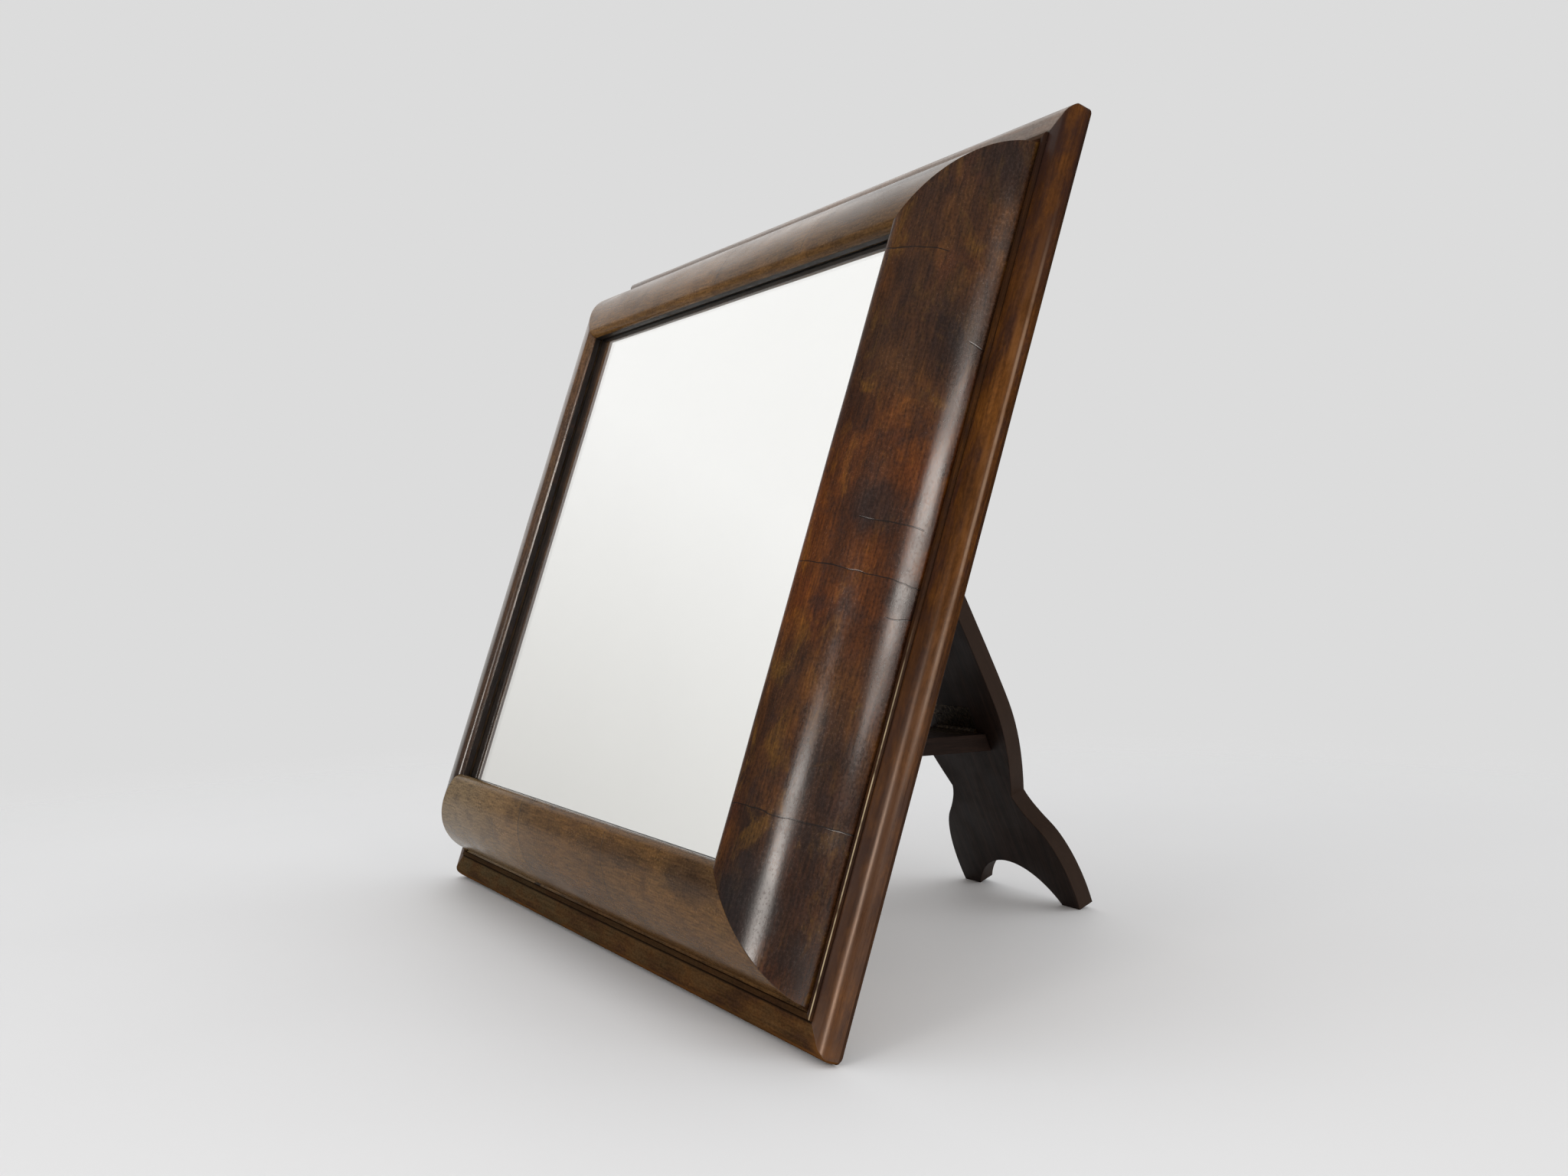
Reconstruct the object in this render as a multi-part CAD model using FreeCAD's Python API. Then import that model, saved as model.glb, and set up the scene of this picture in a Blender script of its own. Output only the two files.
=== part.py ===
import FreeCAD, Part
import math
import os

# Table mirror in a veneered cushion frame, standing on a hinged easel strut with a folding hooked stay.
# Units are millimetres. Every piece is drawn with the strut folded flat: X runs right, Y runs back from
# the frame's back plane (Y = 0) and Z runs up the frame. Each moving group is then swung open about its
# hinge, and the whole leans back until it stands on the frame's lower back edge and the strut's feet.

# Frame and stance
frame_width = 500.0
frame_height = 426.0
lean_angle = 18.7
strut_lean_angle = 23.0

# Moulding section, measured in from the outer edge and forward from the back plane
edge_width = 16.5
edge_side_height = 4.4
edge_nose_width = 6.0
edge_nose_height = 10.4
edge_slope_rise = 0.3
fillet_width = 2.5
fillet_step = 1.3
quirk_width = 1.5
quirk_depth = 1.9
cushion_radius = 43.4
cushion_rise = 48.4
sight_width = 65.5
sight_round = 4.5
veneer_thickness = 1.5
slip_thickness = 1.5
lip_width = 5.0

# Glazing and back
glass_thickness = 3.2
glass_depth = 7.9
glass_edge_clearance = 1.0
silvering_thickness = 0.25
block_depth = 6.0
block_width = 8.0
block_length = 34.0
block_places = (0.3, 0.7)
backboard_thickness = 7.0
backboard_clearance = 0.5
brad_width = 1.6
brad_length = 16.0
brad_grip = 8.0
brad_margin = 30.0
brads_per_long_side = 4
brads_per_short_side = 3
key_leg = 24.0
key_thickness = 2.0
key_depth = 4.0

# Strut
hinge_standoff = 12.0
hinge_drop = 62.0
strut_thickness = 10.0
foot_half_span = 58.6
foot_width = 16.5
foot_swell = 2.8
foot_swell_height = 22.0
ankle_half_width = 46.0
ankle_height = 51.0
ankle_slope_angle = 43.0
arch_height = 22.7
cusp_half_width = 30.8
cusp_height = 71.0
bulge_half_width = 49.0
bulge_height = 130.0
strut_top_half_width = 26.0

# Pulls of the strut's curves, as shares of the stretch that each one shapes
ankle_pull_down = 0.26
ankle_pull_up = 0.5
waist_pull_out = 0.1
waist_pull_down = 0.32
cusp_pull_out = 0.12
cusp_pull_up = 0.24
bulge_pull_down = 0.37
bulge_pull_up = 0.15
top_pull_out = 0.4
top_pull_down = 0.38

# Hinge cleat and stay rail
cleat_half_width = 60.0
cleat_top_margin = 5.5
cleat_round = 8.0
cleat_screw_radius = 2.0
cleat_screw_length = 30.0
cleat_screw_offset = 46.0
rail_thickness = 12.0
rail_below_hinge = 14.0
rail_above_hinge = 24.0
rail_end_clearance = 0.2
rail_block_size = 14.0

# Folding stay
rear_stay_thickness = 10.0
rear_stay_half_width = 29.0
rear_stay_top_height = 103.7
rear_stay_length = 112.0
fork_slot_half_width = 9.6
fork_slot_start = 48.0
hook_pin_radius = 3.0
hook_pin_rest = 0.5
front_stay_thickness = 9.5
front_stay_half_width = 9.0
front_stay_base_half_width = 20.0
front_stay_base_length = 30.0
front_stay_shoulder = 11.0
hook_rise = 8.0
hook_lip = 7.0
hook_corner = 3.0

# Butt hinges
wide_hinge_width = 40.0
narrow_hinge_width = 32.0
leaf_length = 16.0
leaf_thickness = 1.2
barrel_radius = 2.2
hinge_pin_radius = 1.1
screw_radius = 1.3
screw_head_radius = 2.5
screw_head_depth = 1.2
screw_taper = 0.6
screw_sides = 12
screw_slot_width = 0.6
screw_slot_depth = 0.5
screw_length = 7.5
screw_height_share = 0.62
screw_spread_share = 0.64

# Fits
running_fit = 0.05
fixed_fit = 0.02
knuckle_gap = 0.2
barrel_clearance = 0.35
face_clearance = 0.4
seat_clearance = 0.3
pocket_clearance = 0.1

V = FreeCAD.Vector
X_AXIS = V(1, 0, 0)
Y_AXIS = V(0, 1, 0)
Z_AXIS = V(0, 0, 1)

# How far a quarter round's middle lies from its sides' corner, as a share of its radius
quarter_share = 1 - math.sqrt(0.5)

# Section levels: s is measured in from the outer edge, n forward from the back plane
cushion_centre_s = sight_width - sight_round
cushion_centre_n = cushion_rise - cushion_radius
fillet_top = edge_nose_height + edge_slope_rise + fillet_step
shoulder_n = fillet_top - quirk_depth
slip_top = cushion_rise - sight_round
glass_front = cushion_rise - glass_depth
glass_back = glass_front - glass_thickness
silvering_back = glass_back - silvering_thickness
backboard_front = silvering_back - block_depth
backboard_back = backboard_front - backboard_thickness
core_sight = sight_width - slip_thickness
rebate_s = core_sight - lip_width
rail_back = backboard_back - rail_thickness

# Stance: angles and the places of the three hinge axes
hinge_height = frame_height - hinge_drop
cleat_top = frame_height - edge_width - cleat_top_margin
lean = math.radians(lean_angle)
strut_lean = math.radians(strut_lean_angle)
strut_open_angle = lean_angle + strut_lean_angle
rear_stay_open_angle = 90.0 - strut_lean_angle
front_stay_open_angle = 90.0 - lean_angle
axis_rise = hinge_height * math.cos(lean) - hinge_standoff * math.sin(lean)
axis_back = hinge_height * math.sin(lean) + hinge_standoff * math.cos(lean)
strut_length = axis_rise / math.cos(strut_lean)
foot_back = axis_back + strut_length * math.sin(strut_lean)
strut_foot = hinge_height - strut_length
rear_stay_along = rear_stay_top_height / math.cos(strut_lean)
rear_stay_axis = strut_foot + rear_stay_along
rear_stay_back = foot_back - rear_stay_along * math.sin(strut_lean)
pin_drop = face_clearance + rear_stay_thickness / 2
front_stay_top_height = rear_stay_top_height - pin_drop - hook_pin_radius - hook_pin_rest
front_stay_axis_height = front_stay_top_height + face_clearance
front_stay_axis = (front_stay_axis_height - rail_back * math.sin(lean)) / math.cos(lean)
front_stay_back = front_stay_axis * math.sin(lean) - rail_back * math.cos(lean)
front_stay_length = rear_stay_back - front_stay_back - rear_stay_length
front_reach = cushion_centre_s * math.sin(lean) - cushion_centre_n * math.cos(lean) - cushion_radius
rear_reach = foot_back + strut_thickness * math.cos(strut_lean)
middle_back = (front_reach + rear_reach) / 2


def line(a, b):
    return Part.makeLine(a, b)


def arc(a, middle, b):
    return Part.Arc(a, middle, b).toShape()


def curve(*poles):
    bend = Part.BezierCurve()
    bend.setPoles(list(poles))
    return bend.toShape()


def polyline_face(points):
    return Part.Face(Part.makePolygon(list(points) + [points[0]]))


def box(x0, x1, y0, y1, z0, z1):
    low = V(min(x0, x1), min(y0, y1), min(z0, z1))
    return Part.makeBox(abs(x1 - x0), abs(y1 - y0), abs(z1 - z0), low)


def cylinder_along_x(radius, x0, x1, y, z):
    return Part.makeCylinder(radius, x1 - x0, V(x0, y, z), X_AXIS)


def at(s, n):
    """A point of the moulding section, in the plane X = 0 of a member that lies along X."""
    return V(0, -n, s)


def on_circle(centre_s, centre_n, radius, degrees):
    turn = math.radians(degrees)
    return at(centre_s - radius * math.cos(turn), centre_n + radius * math.sin(turn))


# Frame members: one section run along X, mitred, then turned to each side

SIDES = {
    "bottom": (frame_width, 0, V(-frame_width / 2, 0, 0)),
    "right": (frame_height, -90, V(frame_width / 2, 0, 0)),
    "top": (frame_width, 180, V(frame_width / 2, 0, frame_height)),
    "left": (frame_height, 90, V(-frame_width / 2, 0, frame_height)),
}


def mitred(section, side):
    length, turn, corner = SIDES[side]
    reach = sight_width + veneer_thickness
    bar = section.extrude(X_AXIS * length)
    plan = polyline_face([
        V(0, -cushion_rise * 2, 0),
        V(length, -cushion_rise * 2, 0),
        V(length - reach, -cushion_rise * 2, reach),
        V(reach, -cushion_rise * 2, reach),
    ])
    piece = bar.common(plan.extrude(Y_AXIS * cushion_rise * 4))
    piece.Placement = FreeCAD.Placement(corner, FreeCAD.Rotation(Y_AXIS, turn))
    return piece


def cushion_start(radius):
    """Turn, in degrees, at which an arc of the cushion leaves the quirk's shoulder."""
    return math.degrees(math.asin((shoulder_n - cushion_centre_n) / radius))


def cushion_line(inset):
    """The cushion's arc and the small round into the sight wall, inset from the outer surface."""
    radius = cushion_radius - inset
    start = cushion_start(radius)
    small = sight_round - inset
    cushion = [cushion_centre_s, cushion_centre_n, radius]
    nose = [cushion_centre_s, slip_top, small]
    return [
        arc(on_circle(*cushion, start), on_circle(*cushion, (start + 90) / 2), on_circle(*cushion, 90)),
        arc(on_circle(*nose, 90), on_circle(*nose, 135), on_circle(*nose, 180)),
    ]


def first_point(edges):
    return edges[0].Vertexes[0].Point


def last_point(edges):
    return edges[-1].Vertexes[-1].Point


def core_section():
    top = cushion_line(veneer_thickness)
    ends = [
        at(core_sight, slip_top),
        at(core_sight, glass_front),
        at(rebate_s, glass_front),
        at(rebate_s, 0),
        at(edge_width, 0),
        at(edge_width, shoulder_n),
        first_point(top),
    ]
    if veneer_thickness != slip_thickness:
        ends.insert(0, last_point(top))
    sides = [line(a, b) for a, b in zip(ends, ends[1:])]
    return Part.Face(Part.Wire(top + sides))


def veneer_section():
    outer = cushion_line(0)
    inner = cushion_line(veneer_thickness)
    sides = [line(last_point(outer), last_point(inner)), line(first_point(inner), first_point(outer))]
    return Part.Face(Part.Wire(Part.__sortEdges__(outer + inner + sides)))


def edge_section():
    fillet_s = edge_width - fillet_width
    slope_end = edge_nose_height + edge_slope_rise
    nose_rise = edge_nose_height - edge_side_height
    nose_middle = at(edge_nose_width * quarter_share, edge_nose_height - nose_rise * quarter_share)
    nose = arc(at(0, edge_side_height), nose_middle, at(edge_nose_width, edge_nose_height))
    points = [
        at(edge_nose_width, edge_nose_height),
        at(fillet_s - quirk_width / 2, slope_end),
        at(fillet_s - quirk_width / 4, slope_end - quirk_depth / 2),
        at(fillet_s, fillet_top),
        at(edge_width, fillet_top),
        at(edge_width, 0),
        at(0, 0),
        at(0, edge_side_height),
    ]
    sides = [line(a, b) for a, b in zip(points, points[1:])]
    return Part.Face(Part.Wire([nose] + sides))


def slip_section():
    return polyline_face([
        at(core_sight, glass_front),
        at(sight_width, glass_front),
        at(sight_width, slip_top),
        at(core_sight, slip_top),
    ])


def mitre_keys():
    keys = []
    for x_sign in (-1, 1):
        for z_corner, z_sign in ((edge_width, 1), (frame_height - edge_width, -1)):
            corner = V(x_sign * (frame_width / 2 - edge_width), -key_depth, z_corner)
            along_x = corner + V(-x_sign * key_leg, 0, 0)
            along_z = corner + V(0, 0, z_sign * key_leg)
            keys.append(polyline_face([corner, along_x, along_z]).extrude(V(0, -key_thickness, 0)))
    return keys


# Glazing and back

def glass_sheet(front, thickness):
    half = frame_width / 2 - rebate_s - glass_edge_clearance
    low = rebate_s + glass_edge_clearance
    return box(-half, half, -front, -front + thickness, low, frame_height - low)


def backboard():
    half = frame_width / 2 - rebate_s - backboard_clearance
    low = rebate_s + backboard_clearance
    return box(-half, half, -backboard_front, -backboard_back, low, frame_height - low)


def glass_block(side, along):
    """A small three-cornered block glued into the angle between the glass and the rebate."""
    length, turn, corner = SIDES[side]
    wedge = polyline_face([
        at(rebate_s, silvering_back),
        at(rebate_s + block_width, silvering_back),
        at(rebate_s + block_width / 4, backboard_front),
        at(rebate_s, backboard_front),
    ])
    block = wedge.extrude(X_AXIS * block_length)
    block.translate(V(length * along - block_length / 2, 0, 0))
    block.Placement = FreeCAD.Placement(corner, FreeCAD.Rotation(Y_AXIS, turn)).multiply(block.Placement)
    return block


def brad(side, along, clearance):
    """A square headless nail driven into the rebate's wall, lying flat against the backboard."""
    turn, corner = SIDES[side][1:]
    half = brad_width / 2 + clearance
    low = rebate_s - brad_grip
    nail = box(along - half, along + half, -backboard_back - clearance, -backboard_back + brad_width + clearance,
               low - clearance, low + brad_length)
    nail.Placement = FreeCAD.Placement(corner, FreeCAD.Rotation(Y_AXIS, turn)).multiply(nail.Placement)
    return nail


def brads(side, clearance):
    """A row of brads along one side; those in the stiles stay clear of the stay rail."""
    length = SIDES[side][0]
    if side in ("left", "right"):
        margin = front_stay_axis + rail_above_hinge + brad_margin
        count = brads_per_short_side
    else:
        margin = rebate_s + brad_margin
        count = brads_per_long_side
    step = (length - 2 * margin) / (count - 1)
    return [brad(side, margin + step * i, clearance) for i in range(count)]


# Fixings and hinges

def many_sided(levels):
    """A turned form with flat facets, through levels given as (radius, height) from one end to the other."""
    turns = [math.radians(360.0 / screw_sides * i) for i in range(screw_sides)]
    rings = [[V(radius * math.cos(a), radius * math.sin(a), height) for a in turns] for radius, height in levels]
    faces = [polyline_face(rings[0]), polyline_face(rings[-1])]
    for lower, upper in zip(rings, rings[1:]):
        for i in range(screw_sides):
            faces.append(polyline_face([lower[i - 1], lower[i], upper[i], upper[i - 1]]))
    return Part.Solid(Part.makeShell(faces))


def screw(x, y, z, into, radius, head_radius, length, clearance=0.0):
    """A slotted countersunk screw whose head lies flush with a face at y; into is +1 or -1 along Y."""
    levels = [
        (head_radius + clearance, 0),
        (radius + clearance, screw_head_depth),
        (radius * screw_taper + clearance, length + clearance),
    ]
    if clearance:
        levels.insert(0, (head_radius + clearance, -head_radius))
    body = many_sided(levels)
    if not clearance:
        half_slot = screw_slot_width / 2
        body = body.cut(box(-head_radius, head_radius, -half_slot, half_slot, 0, screw_slot_depth))
    body.Placement = FreeCAD.Placement(V(x, y, z), FreeCAD.Rotation(Z_AXIS, V(0, into, 0)))
    return body


class Leaf:
    """One leaf of a butt hinge, let flush into a face that passes the hinge's axis at a small gap."""

    def __init__(self, width, y, z, up, wood, gap, outer_knuckles):
        self.width = width
        self.y = y
        self.z = z
        self.up = up
        self.wood = wood
        self.gap = gap
        self.outer_knuckles = outer_knuckles

    def knuckle_spans(self):
        third = self.width / 3
        edges = [-self.width / 2 + third * i for i in range(4)]
        outer = [(edges[0], edges[1] - knuckle_gap), (edges[2] + knuckle_gap, edges[3])]
        return outer, [(edges[1], edges[2])]

    def plate(self, grow=0.0):
        half = self.width / 2 + grow
        face = self.y + self.wood * self.gap
        back = face + self.wood * leaf_thickness
        return box(-half, half, face, back, self.z, self.z + self.up * (leaf_length + grow))

    def barrel(self, radius, span):
        return cylinder_along_x(radius, span[0], span[1], self.y, self.z)

    def screw_places(self):
        face = self.y + self.wood * self.gap
        height = self.z + self.up * leaf_length * screw_height_share
        return [(sign * self.width / 2 * screw_spread_share, face, height) for sign in (-1, 1)]

    def screws(self, clearance=0.0):
        return [
            screw(*place, self.wood, screw_radius, screw_head_radius, screw_length, clearance)
            for place in self.screw_places()
        ]

    def solid(self):
        outer, inner = self.knuckle_spans()
        own = outer if self.outer_knuckles else inner
        other = inner if self.outer_knuckles else outer
        shape = self.plate()
        for span in other:
            wide = (span[0] - knuckle_gap, span[1] + knuckle_gap)
            shape = shape.cut(self.barrel(barrel_radius + barrel_clearance, wide))
        for span in own:
            shape = shape.fuse(self.barrel(barrel_radius, span))
        pin_room = (-self.width, self.width)
        shape = shape.cut(self.barrel(hinge_pin_radius + running_fit, pin_room))
        for hole in self.screws(running_fit):
            shape = shape.cut(hole)
        return shape.removeSplitter()

    def seat_in(self, wood_piece):
        """The piece with this leaf's pocket, barrel groove and screw holes cut in it."""
        half = self.width / 2 + pocket_clearance
        back = self.y + self.wood * (self.gap + leaf_thickness)
        end = self.z + self.up * (leaf_length + pocket_clearance)
        pocket = box(-half, half, self.y, back, self.z, end)
        groove = self.barrel(barrel_radius + barrel_clearance, (-half - knuckle_gap, half + knuckle_gap))
        shape = wood_piece.cut(pocket).cut(groove)
        for hole in self.screws(running_fit):
            shape = shape.cut(hole)
        return shape.removeSplitter()

    def pin(self):
        return cylinder_along_x(hinge_pin_radius, -self.width / 2, self.width / 2, self.y, self.z)


cleat_leaf = Leaf(wide_hinge_width, hinge_standoff, hinge_height, 1, -1, 0, True)
strut_leaf = Leaf(wide_hinge_width, hinge_standoff, hinge_height, -1, 1, 0, False)
strut_stay_leaf = Leaf(wide_hinge_width, hinge_standoff, rear_stay_axis, 1, 1, 0, True)
rear_stay_leaf = Leaf(wide_hinge_width, hinge_standoff, rear_stay_axis, 1, -1, face_clearance, False)
rail_leaf = Leaf(narrow_hinge_width, -rail_back, front_stay_axis, 1, -1, 0, True)
front_stay_leaf = Leaf(narrow_hinge_width, -rail_back, front_stay_axis, 1, 1, face_clearance, False)


# Cleat, stay rail and their fixings

def cleat_screws(clearance=0.0):
    height = frame_height - (edge_width + rebate_s) / 2
    head = cleat_screw_radius * screw_head_radius / screw_radius
    return [
        screw(sign * cleat_screw_offset, hinge_standoff, height, -1,
              cleat_screw_radius, head, cleat_screw_length, clearance)
        for sign in (-1, 1)
    ]


def hinge_cleat():
    block = box(-cleat_half_width, cleat_half_width, 0, hinge_standoff, hinge_height, cleat_top)
    upper_ends = [e for e in block.Edges
                  if abs(e.CenterOfMass.z - cleat_top) < 0.01
                  and abs(abs(e.CenterOfMass.x) - cleat_half_width) < 0.01]
    block = block.makeFillet(cleat_round, upper_ends)
    for hole in cleat_screws(running_fit):
        block = block.cut(hole)
    return cleat_leaf.seat_in(block)


def stay_rail():
    half = frame_width / 2 - rebate_s - rail_end_clearance
    bar = box(-half, half, -backboard_back, -rail_back,
              front_stay_axis - rail_below_hinge, front_stay_axis + rail_above_hinge)
    return rail_leaf.seat_in(bar)


def rail_blocks():
    """Glue blocks rubbed into the angles between the stay rail's ends and the stiles."""
    blocks = []
    wall = frame_width / 2 - rebate_s
    for x_sign in (-1, 1):
        for z_edge, z_sign in ((front_stay_axis - rail_below_hinge, -1), (front_stay_axis + rail_above_hinge, 1)):
            corner = V(x_sign * wall, -backboard_back, z_edge)
            along_x = corner + V(-x_sign * rail_block_size, 0, 0)
            along_z = corner + V(0, 0, z_sign * rail_block_size)
            blocks.append(polyline_face([corner, along_x, along_z]).extrude(Y_AXIS * rail_thickness))
    return blocks


# Strut

def strut_point(x, along):
    return V(x, hinge_standoff, strut_foot + along)


def strut_side(sign):
    """One edge of the board from the foot's outer corner to the top: foot, ankle, waist, cusp, bulge, taper."""
    foot = strut_point(sign * foot_half_span, 0)
    ankle = strut_point(sign * ankle_half_width, ankle_height)
    cusp = strut_point(sign * cusp_half_width, cusp_height)
    bulge = strut_point(sign * bulge_half_width, bulge_height)
    top = strut_point(sign * strut_top_half_width, strut_length)
    waist = cusp_height - ankle_height
    swing = bulge_height - cusp_height
    rise = strut_length - bulge_height
    slope = math.radians(ankle_slope_angle)
    up_and_in = V(-sign * math.cos(slope), 0, math.sin(slope))
    foot_pull = strut_point(sign * (foot_half_span + foot_swell), foot_swell_height)
    ankle_below = ankle - up_and_in * ankle_height * ankle_pull_down
    ankle_above = ankle + up_and_in * waist * ankle_pull_up
    waist_pull_x = cusp_half_width + waist * waist_pull_out
    waist_pull = strut_point(sign * waist_pull_x, cusp_height - waist * waist_pull_down)
    cusp_pull_x = cusp_half_width + swing * cusp_pull_out
    cusp_pull = strut_point(sign * cusp_pull_x, cusp_height + swing * cusp_pull_up)
    bulge_below = strut_point(sign * bulge_half_width, bulge_height - swing * bulge_pull_down)
    bulge_above = strut_point(sign * bulge_half_width, bulge_height + rise * bulge_pull_up)
    top_pull_x = strut_top_half_width + (bulge_half_width - strut_top_half_width) * top_pull_out
    top_pull = strut_point(sign * top_pull_x, strut_length - rise * top_pull_down)
    return [
        curve(foot, foot_pull, ankle_below, ankle),
        curve(ankle, ankle_above, waist_pull, cusp),
        curve(cusp, cusp_pull, bulge_below, bulge),
        curve(bulge, bulge_above, top_pull, top),
    ]


def strut_board():
    inner = foot_half_span - foot_width
    left = strut_side(-1)
    right = strut_side(1)
    arch = arc(strut_point(-inner, 0), strut_point(0, arch_height), strut_point(inner, 0))
    ends = [
        line(strut_point(-foot_half_span, 0), strut_point(-inner, 0)),
        line(strut_point(inner, 0), strut_point(foot_half_span, 0)),
        line(strut_point(-strut_top_half_width, strut_length), strut_point(strut_top_half_width, strut_length)),
    ]
    outline = Part.Wire(Part.__sortEdges__(left + right + [arch] + ends))
    board = Part.Face(outline).extrude(Y_AXIS * strut_thickness)
    board = strut_leaf.seat_in(board)
    return strut_stay_leaf.seat_in(board)


# Folding stay

def rear_stay():
    """Forked rear leaf: a board bevelled to seat on the strut, slotted to straddle the front leaf."""
    back = hinge_standoff - face_clearance
    front = back - rear_stay_thickness
    low = rear_stay_axis + seat_clearance
    bevel = rear_stay_thickness * math.tan(strut_lean)
    tip = rear_stay_axis + rear_stay_length
    round_top = V(0, (back + front) / 2, tip + rear_stay_thickness / 2)
    outline = [
        line(V(0, back, low), V(0, back, tip)),
        arc(V(0, back, tip), round_top, V(0, front, tip)),
        line(V(0, front, tip), V(0, front, low - bevel)),
        line(V(0, front, low - bevel), V(0, back, low)),
    ]
    board = Part.Face(Part.Wire(outline)).extrude(X_AXIS * rear_stay_half_width * 2)
    board.translate(V(-rear_stay_half_width, 0, 0))
    slot_low = rear_stay_axis + fork_slot_start + fork_slot_half_width
    slot = box(-fork_slot_half_width, fork_slot_half_width, front - 1, back + 1, slot_low, tip * 2)
    slot_end = Part.makeCylinder(fork_slot_half_width, rear_stay_thickness + 2, V(0, front - 1, slot_low), Y_AXIS)
    board = board.cut(slot).cut(slot_end)
    board = board.cut(hook_pin(fixed_fit))
    return rear_stay_leaf.seat_in(board)


def hook_pin(clearance=0.0):
    middle = hinge_standoff - pin_drop
    reach = rear_stay_half_width + clearance
    height = rear_stay_axis + rear_stay_length
    return cylinder_along_x(hook_pin_radius + clearance, -reach, reach, middle, height)


def front_stay():
    """Hooked front leaf: a tongue with a wide hinge end and an upstanding lip behind the cross pin."""
    top = -rail_back + face_clearance
    under = top + front_stay_thickness
    low = front_stay_axis + seat_clearance
    bevel = front_stay_thickness * math.tan(lean)
    lip = front_stay_axis + front_stay_length + hook_pin_radius + seat_clearance
    end = lip + hook_lip
    profile = polyline_face([
        V(0, top, low),
        V(0, top, lip),
        V(0, top - hook_rise, lip),
        V(0, top - hook_rise, end - hook_corner),
        V(0, top - hook_rise + hook_corner, end),
        V(0, under - hook_corner, end),
        V(0, under, end - hook_corner),
        V(0, under, low - bevel),
    ])
    bar = profile.extrude(X_AXIS * front_stay_base_half_width * 2)
    bar.translate(V(-front_stay_base_half_width, 0, 0))
    shoulder = front_stay_axis + front_stay_base_length
    for sign in (-1, 1):
        inner = V(sign * front_stay_half_width, 0, shoulder + front_stay_shoulder)
        outer = V(sign * front_stay_base_half_width, 0, shoulder)
        hollow_x = front_stay_half_width + (front_stay_base_half_width - front_stay_half_width) * quarter_share
        hollow = V(sign * hollow_x, 0, shoulder + front_stay_shoulder * quarter_share)
        far_x = sign * front_stay_base_half_width * 2
        waste = [
            arc(outer, hollow, inner),
            line(inner, V(inner.x, 0, end * 2)),
            line(V(inner.x, 0, end * 2), V(far_x, 0, end * 2)),
            line(V(far_x, 0, end * 2), V(far_x, 0, shoulder)),
            line(V(far_x, 0, shoulder), outer),
        ]
        depth = cushion_rise * 2
        cutter = Part.Face(Part.Wire(waste)).extrude(Y_AXIS * depth * 2)
        cutter.translate(V(0, -depth, 0))
        bar = bar.cut(cutter)
    return front_stay_leaf.seat_in(bar)


# Assembly: build folded, swing each group open, lean the whole back

def turned(degrees, y, z):
    """A turn about a line along X through (y, z)."""
    return FreeCAD.Placement(V(0, 0, 0), FreeCAD.Rotation(X_AXIS, degrees), V(0, y, z))


STAND = FreeCAD.Placement(V(0, -middle_back, 0), FreeCAD.Rotation(X_AXIS, -lean_angle))
OPEN_STRUT = STAND.multiply(turned(strut_open_angle, hinge_standoff, hinge_height))
OPEN_REAR_STAY = OPEN_STRUT.multiply(turned(rear_stay_open_angle, hinge_standoff, rear_stay_axis))
OPEN_FRONT_STAY = STAND.multiply(turned(-front_stay_open_angle, -rail_back, front_stay_axis))


def save(name, shapes, stance):
    solids = [solid for shape in shapes for solid in shape.Solids]
    piece = solids[0] if len(solids) == 1 else Part.makeCompound(solids)
    piece.Placement = stance.multiply(piece.Placement)
    piece.exportStep("parts/" + name + ".step")


def save_frame():
    keys = mitre_keys()
    for side in SIDES:
        core = mitred(core_section(), side)
        cuts = keys + brads(side, fixed_fit)
        if side == "top":
            cuts = cuts + cleat_screws(running_fit)
        for cut in cuts:
            core = core.cut(cut)
        kind = "stile" if side in ("left", "right") else "rail"
        save(side + "_" + kind + "_core", [core], STAND)
        save(side + "_veneer", [mitred(veneer_section(), side)], STAND)
        save(side + "_edge_moulding", [mitred(edge_section(), side)], STAND)
        save(side + "_sight_slip", [mitred(slip_section(), side)], STAND)
    save("mitre_keys", keys, STAND)


def save_glazing():
    save("mirror_glass", [glass_sheet(glass_front, glass_thickness)], STAND)
    save("silvering", [glass_sheet(glass_back, silvering_thickness)], STAND)
    save("glass_blocks", [glass_block(side, along) for side in SIDES for along in block_places], STAND)
    save("backboard", [backboard()], STAND)
    save("backboard_brads", [nail for side in SIDES for nail in brads(side, 0)], STAND)


def save_hinge_fixings():
    save("hinge_cleat", [hinge_cleat()], STAND)
    save("cleat_screws", cleat_screws(), STAND)
    save("cleat_hinge_leaf", [cleat_leaf.solid()], STAND)
    save("cleat_leaf_screws", cleat_leaf.screws(), STAND)
    save("strut_hinge_pin", [cleat_leaf.pin()], STAND)
    save("stay_rail", [stay_rail()], STAND)
    save("stay_rail_blocks", rail_blocks(), STAND)
    save("rail_hinge_leaf", [rail_leaf.solid()], STAND)
    save("rail_leaf_screws", rail_leaf.screws(), STAND)
    save("front_stay_hinge_pin", [rail_leaf.pin()], STAND)


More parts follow.
